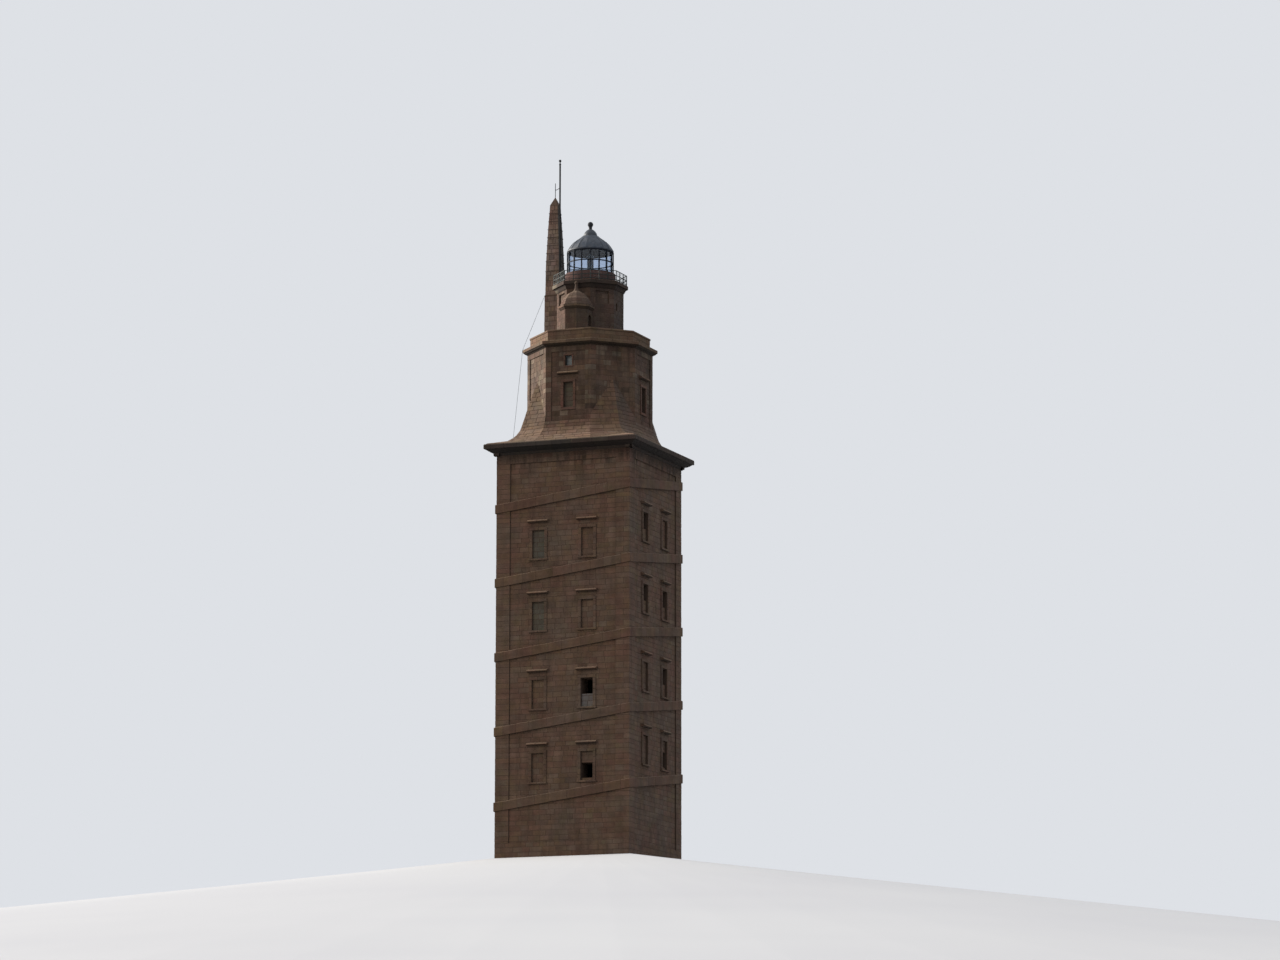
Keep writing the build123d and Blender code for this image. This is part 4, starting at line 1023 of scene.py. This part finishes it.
def on_side(face, x, z, out):
    """A point of a side of the skirt, which leans further out towards its foot."""
    z = max(SKIRT_BOTTOM, min(MAIN_SKIRT_TOP - 0.005, z))
    above, below = min(z + SLOPE_STEP, MAIN_SKIRT_TOP), z - SLOPE_STEP
    lean = (main_out(above) - main_out(below)) / (2 * SLOPE_STEP)
    length = math.hypot(1.0, lean)
    reach = OCTAGON + main_out(z)
    x = max(-reach * EIGHTH, min(reach * EIGHTH, x))
    return (*around(8, face, x, -reach - out / length), z - out * lean / length)


def on_corner(half_face, x, z, out):
    """A point of a corner; its left half and right half are two faces, and x None is the ridge."""
    z = max(SKIRT_BOTTOM + 0.001, min(RIDGE_TOP - 0.03, z))
    outline = corner_outline(z)
    edge = outline[-1][0]
    x = max(-edge, min(edge, x or 0.0))
    inner = min(abs(x), max(0.0, edge - SLOPE_STEP))
    across = (along(outline, inner + SLOPE_STEP) - along(outline, inner)) / SLOPE_STEP if x else 0.0
    across = math.copysign(across, across * x)
    low, high = max(SKIRT_BOTTOM, z - SLOPE_STEP), min(RIDGE_TOP, z + SLOPE_STEP)
    lean = (along(corner_outline(high), abs(x)) - along(corner_outline(low), abs(x))) / (high - low)
    share = out / math.sqrt(1.0 + across * across + lean * lean)
    reach = along(outline, abs(x))
    face = half_face // 2 * 2 + 1
    return (*around(8, face, x - share * across, -reach - share), z - share * lean)


skirt = Masonry("skirt_stones", "skirt_stone", 220)
SIDE_COURSES = (0.06, 0.28, 0.50, 0.70, 1.02, 1.35, 1.62, 1.90)
CORNER_COURSES = (0.06, 0.17, 0.29, 0.41, 0.55, 0.70, 0.97, 1.35, 1.62, 1.90, 2.30, 2.66, 3.03, 3.40, 3.80,
                  4.20, 4.60, 5.00, 5.30, 5.56)
for face in (0, 2, 4, 6):
    widest = (OCTAGON + MAIN_SKIRT[-1][0]) * EIGHTH
    side_levels = [CORNICE_TOP + up for up in SIDE_COURSES]
    lay_field(skirt, on_side, face, -widest, widest, side_levels, length=0.9, proud=SKIRT_PROUD)
for corner in range(4):
    for row, (low, high) in enumerate(pairwise(CORNER_COURSES)):
        low, high = CORNICE_TOP + low, CORNICE_TOP + high
        edge = corner_outline(low)[-1][0]
        left, right = [min(arm, edge) for arm in (SKIRT_ARMS if row % 2 else SKIRT_ARMS[::-1])]
        skirt.stone(on_corner, (2 * corner, -left), (2 * corner + 1, right), low, high, SKIRT_PROUD)
        for half_face, x0, x1 in ((2 * corner, -edge, -left), (2 * corner + 1, right, edge)):
            if x1 - x0 > SMALLEST_STONE:
                cuts = joints(x0, x1, 0.8, skirt.random, [])
                for a, b in pairwise(cuts):
                    skirt.stone(on_corner, (half_face, a), (half_face, b), low, high, SKIRT_PROUD)
skirt.finish(skirt_stone)


def corner_cores():
    """The mass behind the upper stones of each corner, where its ridge leans on the wall."""
    peak, bend, foot = moved(CORNER_RIDGE[:3], OCTAGON - CORE_SET_BACK, CORNICE_TOP)
    points, faces = [], []
    for face in (1, 3, 5, 7):
        first = len(points)
        for reach, z in (peak, bend, foot):
            points.append((*around(8, face, 0.0, -reach), z))
        for side in (-1, 1):
            points.append((*around(8, face, side * OCTAGON_HALF, CORE_SET_BACK - OCTAGON), EDGE_TOP))
        for loop in ((0, 3, 1), (1, 3, 2), (0, 1, 4), (1, 2, 4), (2, 3, 4), (0, 4, 3)):
            faces.append(tuple(first + index for index in loop))
    return made_of("skirt_corner_cores", points, faces, wall_core, "skirt_stone")


corner_cores()

# Octagon
octagon_walls = Walls(8, OCTAGON)
octagon_panels = Walls(8, OCTAGON_PANEL)
octagon_back = Walls(8, OCTAGON - BLIND_WINDOW_DEPTH)
octagon = Masonry("octagon_stones", "octagon_stone", 200)
blind = Masonry("octagon_infill_stones", "octagon_stone", 201)
octagon_levels = course_levels(MAIN_SKIRT_TOP, OCTAGON_FRIEZE, COURSE, random.Random(12)) + [OCTAGON_TOP]
STRIP_START = OCTAGON_HALF - OCTAGON_STRIP


def skirt_holes(levels):
    """What a corner of the skirt covers of the wall behind it, course by course."""
    holes = []
    for low, high in pairwise(levels):
        if high < RIDGE_TOP - 0.02:
            half = corner_outline(high)[-1][0] - 0.02
            holes.append((-half, half, low - 0.01, high + 0.01))
    return holes


def octagon_field(place, face, low, high, windows=()):
    """Courses between a face's edge strips, without its windows or what the skirt's corner covers."""
    levels = levels_between(octagon_levels, low, high)
    holes = skirt_holes(levels) if face % 2 else [hole_of(window) for window in windows]
    lay_field(octagon, place, face, -STRIP_START, STRIP_START, levels, holes, length=0.8)


for face in range(8):
    for row, (low, high) in enumerate(pairwise(octagon_levels)):
        if low >= EDGE_TOP - 0.2:
            lay_corner(octagon, octagon_walls, face, max(low, EDGE_TOP), high, OCTAGON_STRIP, row)
        elif face % 2 == 0:
            octagon.stone(octagon_walls.place, (face, STRIP_START), (face, OCTAGON_HALF), low, high)
            octagon.stone(octagon_walls.place, (face, -OCTAGON_HALF), (face, -STRIP_START), low, high)
    if face % 2 == 0:
        windows = [TALL_WINDOW, SMALL_WINDOW] if face % 4 == 0 else [TALL_WINDOW]
        octagon_field(octagon_panels.place, face, MAIN_SKIRT_TOP + 0.04, OCTAGON_FRIEZE, windows)
    elif face in PLAIN_FACES:
        octagon_field(octagon_walls.place, face, EDGE_TOP, OCTAGON_FRIEZE)
    else:
        octagon_field(octagon_walls.place, face, EDGE_TOP, CORNER_PANEL_BOTTOM)
        octagon_field(octagon_panels.place, face, CORNER_PANEL_BOTTOM, OCTAGON_FRIEZE)
    frieze = [OCTAGON_FRIEZE, OCTAGON_TOP]
    lay_field(octagon, octagon_walls.place, face, -STRIP_START, STRIP_START, frieze, length=1.1)
    if face % 4 == 0:
        half, low, high = TALL_WINDOW
        lay_field(blind, octagon_back.place, face, -half, half,
                  levels_between(octagon_levels, low, high), length=0.5, proud=BACKING_PROUD)
octagon.finish(octagon_stone)
blind.finish(mossy_stone)


def surround(masonry, place, face, window, margin, reach):
    """Jambs, head and sill of a plain window, standing out from the wall."""
    half, low, high = window
    edge = half + margin
    stones = jambs(0.0, half, edge, low, high, max(1, round((high - low) / 0.5)), reach)
    stones += [(-edge, edge, low - margin, low, reach), (-edge, edge, high, high + margin, reach)]
    lay_squared(masonry, place, face, stones)


trims = Masonry("octagon_window_stones", "trim_stone", 210)
ledges = Masonry("octagon_hood_stones", "trim_stone", 211)
for face in (0, 2, 4, 6):
    surround(trims, octagon_panels.place, face, TALL_WINDOW, margin=0.22, reach=0.10)
    section = moved(OCTAGON_HOOD, 0.0, OCTAGON_HOOD_BOTTOM)
    for a, b in ((-OCTAGON_HOOD_HALF, 0.05), (0.05, OCTAGON_HOOD_HALF)):
        ledges.moulded(octagon_panels.place, (face, a), (face, b), section)
for face in (0, 4):
    surround(trims, octagon_panels.place, face, SMALL_WINDOW, margin=0.12, reach=0.06)
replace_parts(trims.finish(surround_stone), "octagon_window_frames")
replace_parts(ledges.finish(hood_stone), "octagon_hoods")

octagon_axis = Walls(8, 0.0)
mouldings = Masonry("octagon_cornice_stones", "cornice_stone", 230)
edge, top = OCTAGON_CORNICE + MOULDING_PROUD, TERRACE + MOULDING_PROUD
section = moved(((-0.2, 0.0), (MOULDING_PROUD, 0.0), (0.10, 0.08), (0.15, 0.10), (0.24, 0.14)),
                OCTAGON, OCTAGON_TOP)
section += moved(((-0.05, 0.24), (-0.01, 0.25), (0.0, 0.27)), edge, OCTAGON_TOP)
section += [(edge, top - 0.03), (edge - 0.03, top), (OCTAGON - 0.2, top)]
lay_moulding(mouldings, octagon_axis, section, length=1.3)
mouldings.finish(octagon_cornice_stone)

# Parapet round the terrace
parapet_outer = real("parapet")[1].x - 0.05
parapet_inner = parapet_outer - 0.30
coping_bottom = PARAPET_TOP - 0.13
parapet = Masonry("parapet_stones", "parapet_stone", 240)
parapet_levels = course_levels(TERRACE, coping_bottom, COURSE, parapet.random)
lay_tower(parapet, Walls(8, parapet_outer), parapet_levels, PARAPET_ARMS)
low, high = coping_bottom - MOULDING_PROUD, PARAPET_TOP + MOULDING_PROUD
section = moved(((0.05, 0.0), (0.064, 0.02)), parapet_outer, low)
section += moved(((0.064, -0.03), (0.04, 0.0)), parapet_outer, high)
section += moved(((-0.02, 0.0), (-0.032, -0.02)), parapet_inner, high)
lay_moulding(parapet, octagon_axis, [(parapet_inner - 0.032, low)] + section, length=1.4)
parapet.finish(parapet_stone)


def inner_walls(masonry, sides, apothem, levels):
    """Courses on the inside of a ring: the faces look to the axis."""
    half = apothem * math.tan(math.pi / sides)

    def place(face, x, z, out):
        return (*around(sides, face, -x, -apothem + out), z)

    for face in range(sides):
        lay_field(masonry, place, face, -half + 0.01, half - 0.01, levels, length=0.9)


inside = Masonry("parapet_inner_stones", "parapet_stone", 241)
inner_walls(inside, 8, parapet_inner, course_levels(TERRACE, coping_bottom, COURSE, inside.random))
inside.finish(parapet_stone)

# Drum and stair turret
drum = Masonry("drum_stones", "drum_stone", 250)
drum_walls = Walls(8, DRUM)
drum_back = Walls(8, DRUM - INFILL_SET_BACK)
drum_holes = {2: [DRUM_SLIT], 6: [DRUM_SLIT]}
drum_holes.update({face: [hole_of(DRUM_WINDOW)] for face in (1, 3, 5, 7)})
drum_levels = course_levels(TERRACE, DRUM_TOP, 0.40, drum.random)
lay_tower(drum, drum_walls, drum_levels, DRUM_ARMS, drum_holes, length=0.7)
half, low, high = DRUM_WINDOW
for face in (1, 3, 5, 7):
    lay_field(drum, drum_back.place, face, -half, half, levels_between(drum_levels, low, high),
              length=0.5, proud=BACKING_PROUD)
drum.finish(drum_stone)


def outside_drum(point):
    """Whether a part of the turret stands free, in front of the drum's wall."""
    return point[1] < -DRUM + 0.25


turret = Masonry("turret_stones", "turret_stone", 260)
turret_walls = Walls(8, TURRET, TURRET_CENTRE)
turret_levels = course_levels(TERRACE, TURRET_TOP, 0.38, turret.random)
lay_tower(turret, turret_walls, turret_levels, TURRET_ARMS, {2: [hole_of(TURRET_WINDOW)]},
          length=0.42, keep=outside_drum)
turret.finish(turret_stone)

turret_axis = Walls(8, 0.0, TURRET_CENTRE)
turret_trim = Masonry("turret_moulding_stones", "cornice_stone", 261)
edge = real("turret_moulding")[1].x + MOULDING_PROUD
top = real("turret_moulding")[1].z + 0.01
section = moved(((-0.1, 0.0), (0.014, 0.0), (0.08, 0.08)), TURRET, TURRET_TOP)
section += moved(((-0.04, 0.17), (0.0, 0.20)), edge, TURRET_TOP)
section += [(edge, top - 0.06), (edge - 0.06, top), (TURRET - 0.1, top)]
lay_moulding(turret_trim, turret_axis, section, length=1.0, keep=outside_drum)
turret_trim.finish(octagon_cornice_stone)

roof_profile = [(TURRET_ROOF_BOTTOM + up, share * TURRET) for share, up in TURRET_ROOF]
turret_roof_walls = Walls(8, lambda z: along(roof_profile, z), TURRET_CENTRE)
roof = Masonry("turret_roof_stones", "turret_roof_stone", 262)
for low, high in pairwise(roof_profile):
    levels = course_levels(low[0], high[0] - 0.01, 0.27, roof.random)
    for z0, z1 in pairwise(levels):
        for face in range(8):
            if outside_drum(turret_roof_walls.place(face, 0, z0, 0)):
                roof.stone(turret_roof_walls.place, (face, 0.0), (face + 1, 0.0), z0, z1)
roof.finish(roof_stone)

# Gallery
gallery = Masonry("gallery_stones", "cornice_stone", 270)
edge, top = GALLERY + MOULDING_PROUD, GALLERY_TOP + MOULDING_PROUD
section = moved(((-0.1, 0.0), (0.05, 0.0), (0.11, 0.10)), DRUM, DRUM_TOP)
section += moved(((-0.16, -0.06), (-0.11, 0.0), (-0.01, 0.0), (0.0, 0.03)), edge, GALLERY_TOP - 0.30)
section += [(edge, top - 0.03), (edge - 0.03, top), (LANTERN_BASE - 0.05, top)]
lay_moulding(gallery, octagon_axis, section, length=1.1)
gallery.finish(gallery_stone)


# Metalwork and glass
def bar(points, faces, start, end, width, depth=None):
    """Adds a square bar between two points to lists of points and faces."""
    start, end = Vector(start), Vector(end)
    along_bar = (end - start).normalized()
    side = along_bar.cross(Vector((0, 0, 1)))
    if side.length < 0.01:
        side = along_bar.cross(Vector((start.x, start.y, 0)).normalized())
    other = along_bar.cross(side.normalized()) * (depth or width) / 2
    side = side.normalized() * width / 2
    first = len(points)
    for end_point in (start, end):
        for a, b in ((-1, -1), (1, -1), (1, 1), (-1, 1)):
            points.append(tuple(end_point + side * a + other * b))
    for k in range(4):
        following = (k + 1) % 4
        faces.append((first + k, first + following, first + 4 + following, first + 4 + k))
    faces.append((first + 3, first + 2, first + 1, first))
    faces.append((first + 4, first + 5, first + 6, first + 7))


def on_circle(k, count):
    """The cosine and sine of one of the even steps round a circle."""
    angle = 2 * math.pi * k / count
    return math.cos(angle), math.sin(angle)


def turned(profile, steps, ring=False, first=0.0, centre=(0.0, 0.0)):
    """Points and faces of a (radius, height) profile turned round an upright axis.

    The profile of a ring is a closed loop. Any other is an open line and gets a face at each end.
    """
    points = []
    for k in range(steps):
        cos, sin = on_circle(k + first, steps)
        points += [(centre[0] + r * cos, centre[1] + r * sin, z) for r, z in profile]
    count = len(profile)
    faces = turned_over(grid_faces(steps, count, rows_close=True, columns_close=ring))
    if not ring:
        faces.append(tuple(k * count for k in reversed(range(steps))))
        faces.append(tuple(k * count + count - 1 for k in range(steps)))
    return points, faces


def railing_net():
    """A wire net between the posts of the gallery railing."""
    points, faces = [], []
    rail = Walls(8, real("gallery_railing")[1].x - 0.025)
    half = rail.half(0)
    low, high = GALLERY_TOP + 0.13, RAIL_TOP - 0.05
    for face in range(8):
        for k in range(1, NET_COLUMNS):
            x = -half + 2 * half * k / NET_COLUMNS
            bar(points, faces, rail.place(face, x, low, 0), rail.place(face, x, high, 0), NET_WIRE)
        for k in range(1, NET_ROWS):
            z = low + (high - low) * k / NET_ROWS
            bar(points, faces, rail.place(face, -half, z, 0), rail.place(face, half, z, 0), NET_WIRE)
    return made_of("gallery_net", points, faces, rail_net, "railing_metal")


def glazing_beads():
    """Flat cover strips on the lantern's posts and round its glass, half way up."""
    points, faces = [], []
    reach = GLAZING + BEAD_PROUD
    middle = (LANTERN_BASE_TOP + GLAZING_TOP) / 2
    corners = []
    for k in range(GLAZING_SIDES):
        cos, sin = on_circle(k, GLAZING_SIDES)
        corners.append((reach * cos, reach * sin))
    for corner, following in zip(corners, corners[1:] + corners[:1]):
        bar(points, faces, (*corner, LANTERN_BASE_TOP), (*corner, GLAZING_TOP), *POST_STRIP)
        bar(points, faces, (*corner, middle), (*following, middle), *LEVEL_STRIP)
    return made_of("glazing_beads", points, faces, lantern_metal, "lantern_metal")


def dome_sheets():
    """The dome's skin: flat sheets between standing seams, fuller than the shell under them."""
    outside = moved(DOME_SHEETS, 0.0, DOME_FOOT)
    inside = moved(reversed(outside), -SHEET_DEPTH[0], -SHEET_DEPTH[1])
    points, faces = turned(outside + inside, DOME_SIDES, ring=True, first=0.5)
    for k in range(DOME_SIDES):
        foot = k * len(outside + inside)
        for j in range(foot, foot + len(outside) - 1):
            bar(points, faces, points[j], points[j + 1], SEAM_WIDTH)
    return made_of("dome_sheets", points, faces, dome_metal, "dome_metal")


def turret_pinnacle():
    """A tapering round pinnacle on the roof of the turret."""
    profile = moved(PINNACLE, 0.0, TURRET_ROOF_BOTTOM + TURRET_ROOF[-1][1])
    return made_of("turret_pinnacle", *turned(profile, 20, centre=TURRET_CENTRE), roof_stone,
                   "turret_roof_stone")


def mast_pole():
    """The mast's coats of paint, from its foot to the collar under its ball."""
    low, high = real("mast")
    knob = high.z - MAST_BALL - MAST_KNOB
    profile = [(0.02, low.z + 0.01), (MAST_SLEEVE, low.z + 0.01), (MAST_SLEEVE, knob - 0.08),
               (MAST_SLEEVE + 0.025, knob), (0.06, knob + 0.08), (0.02, knob + 0.09)]
    centre = (high.x - MAST_BALL, low.y + MAST_BALL)
    return made_of("mast_pole", *turned(profile, 12, centre=centre), mast_metal, "mast_metal")


def vent_ball():
    """The full ball on the lantern's vent, with the stem that carries it."""
    top = real("dome_finial")[1].z
    profile = [(0.02, top - VENT_STEM), (VENT_BALL * 0.55, top - VENT_STEM)]
    for k in range(9):
        angle = math.radians(-50 + 140 * k / 8)
        radius = max(0.01, VENT_BALL * math.cos(angle))
        profile.append((radius, top - VENT_BALL + VENT_BALL * math.sin(angle)))
    return made_of("vent_ball", *turned(profile, 20), vent_metal, "dome_metal")


def optic_lens():
    """The lens barrel, whose ribbed outline has one prism ring after another."""
    low, high = OPTIC_LOW.z + 0.10, OPTIC_HIGH.z - 0.10
    rib = (high - low) / LENS_RIBS
    foot = OPTIC_LOW.z + 0.02
    profile = [(0.12, OPTIC_LOW.z), (0.12, foot), (0.30, foot), (0.30, low)]
    for k in range(LENS_RIBS):
        z = low + rib * k
        bulge = 0.295 - 0.02 * abs(2 * k / (LENS_RIBS - 1) - 1)
        profile += [(0.25, z), (bulge, z + rib * 0.35), (0.25, z + rib * 0.95)]
    profile += [(0.30, high), (0.30, high + 0.05), (0.12, high + 0.06), (0.12, OPTIC_HIGH.z)]
    return made_of("optic_lens", *turned(profile, 48), optic_glass, "optic_glass", TURNING)


railing_net()
glazing_beads()
dome_sheets()
turret_pinnacle()
mast_pole()
vent_ball()
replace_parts(optic_lens(), "optic")

# Obelisk
obelisk_profile = [(TERRACE + up, out) for up, out in OBELISK_PROFILE]
obelisk_walls = Walls(4, lambda z: along(obelisk_profile, z), OBELISK_CENTRE)
obelisk = Masonry("obelisk_stones", "obelisk_stone", 280)
for (low, _), (high, _) in pairwise(obelisk_profile):
    if high - low > 0.1:
        levels = course_levels(low, high, COURSE, obelisk.random)
        lay_tower(obelisk, obelisk_walls, levels, OBELISK_ARMS, length=0.5)
obelisk.finish(obelisk_stone)

rings = Masonry("obelisk_rings", "obelisk_stone", 281)
obelisk_axis = Walls(4, 0.0, OBELISK_CENTRE)
for up in OBELISK_LEDGES:
    section = moved(OBELISK_RING, along(obelisk_profile, TERRACE + up), TERRACE + up)
    for face in range(4):
        rings.moulded(obelisk_axis.place, (face, 0.0), (face + 1, 0.0), section)
rings.finish(ring_stone)


# Door
def door_boards():
    """Upright boards on the door's leaf, with gaps between them."""
    points, faces = [], []
    wide = 2 * DOOR_HALF / DOOR_BOARDS
    for k in range(DOOR_BOARDS):
        x, y = around(4, 2, wide * (k + 0.5) - DOOR_HALF, -DOOR_LEAF)
        bar(points, faces, (x, y, DOOR_LOW + 0.01), (x, y, DOOR_TOP - 0.01), wide - JOINT)
    return made_of("door_boards", points, faces, door_wood, "door_wood")


door_boards()


# Camera, at the photograph's viewing angle: far below the tower, to its right, with a long lens
def set_camera():
    data = bpy.data.cameras.new("camera")
    data.sensor_width = SENSOR
    data.lens = FOCAL_PIXELS / PHOTO_WIDTH * SENSOR
    data.clip_end = 2000
    camera = shown_object("camera", data)
    x, y = math.sin(VIEW_SIDE) * VIEW_DISTANCE, -math.cos(VIEW_SIDE) * VIEW_DISTANCE
    camera.location = Vector((x, y, EYE_HEIGHT)) * SCALE
    camera.rotation_mode = "XYZ"
    camera.rotation_euler = (math.pi / 2 + VIEW_UP, VIEW_ROLL, VIEW_SIDE + VIEW_TURN)
    bpy.context.scene.camera = camera


def seen_directly(tree):
    """1 where a thing is seen straight, mirrored or through glass, 0 where it only gives light."""
    path = tree.nodes.new("ShaderNodeLightPath")
    seen = path.outputs["Is Camera Ray"]
    for name in ("Is Glossy Ray", "Is Transmission Ray"):
        either = tree.nodes.new("ShaderNodeMath")
        either.operation = "MAXIMUM"
        tree.links.new(seen, either.inputs[0])
        tree.links.new(path.outputs[name], either.inputs[1])
        seen = either.outputs[0]
    return seen


def floor_material():
    """Pale to the eye; for the light that it sends up to the tower it is a duller ground."""
    recipe = Recipe("floor")
    cloud = recipe.noise(0.05, 2.0, 0.5)
    tone = recipe.stain(paint(196, 196, 198), paint(204, 204, 204), cloud, 0.3, 0.7)
    return recipe.finish(recipe.mix(seen_directly(recipe.tree), paint(112, 110, 106), tone), 0.95)


def set_floor():
    """A pale mound that falls away on every side, since the camera looks up at the tower."""
    edge = SHAFT + 0.15
    points = []
    for distance in FLOOR_RINGS:
        for k in range(FLOOR_STEPS):
            place = [max(-edge, min(edge, edge * 1.5 * share)) + distance * share
                     for share in on_circle(k, FLOOR_STEPS)]
            points.append((*place, -FLOOR_FALL * distance))
    faces = turned_over(grid_faces(len(FLOOR_RINGS), FLOOR_STEPS, columns_close=True))
    faces.append(tuple(range(FLOOR_STEPS)))
    mesh_object("floor", points, faces, floor_material())


def set_world(sky, backdrop):
    """A sky that lights the tower, and a backdrop where it is looked at: each a colour and strength."""
    world = bpy.data.worlds.new("world")
    bpy.context.scene.world = world
    world.use_nodes = True
    tree = world.node_tree
    tree.nodes.clear()
    mix = tree.nodes.new("ShaderNodeMixShader")
    tree.links.new(seen_directly(tree), mix.inputs[0])
    for k, (colour, strength) in enumerate((sky, backdrop)):
        background = tree.nodes.new("ShaderNodeBackground")
        background.inputs["Color"].default_value = colour
        background.inputs["Strength"].default_value = strength
        tree.links.new(background.outputs[0], mix.inputs[k + 1])
    output = tree.nodes.new("ShaderNodeOutputWorld")
    tree.links.new(mix.outputs[0], output.inputs[0])


def sun(name, strength, colour, direction, softness):
    """A soft lamp; direction points from the tower to the lamp."""
    data = bpy.data.lights.new(name, "SUN")
    data.energy = strength
    data.color = colour
    data.angle = math.radians(softness)
    shown_object(name, data).rotation_euler = Vector(direction).to_track_quat("Z", "Y").to_euler()


set_camera()
set_floor()
set_world(((0.82, 0.88, 1.0, 1.0), 0.52), (paint(222, 225, 230), 1.0))
sun("key", 6.8, (1.0, 0.94, 0.85), (-0.95, 0.04, 0.30), 10)
sun("fill", 0.45, (1.0, 0.78, 0.55), (-0.35, -0.85, 0.35), 40)
sun("zenith", 0.5, (0.85, 0.92, 1.0), (0.0, 0.0, 1.0), 60)
bpy.context.scene.view_settings.view_transform = "Standard"
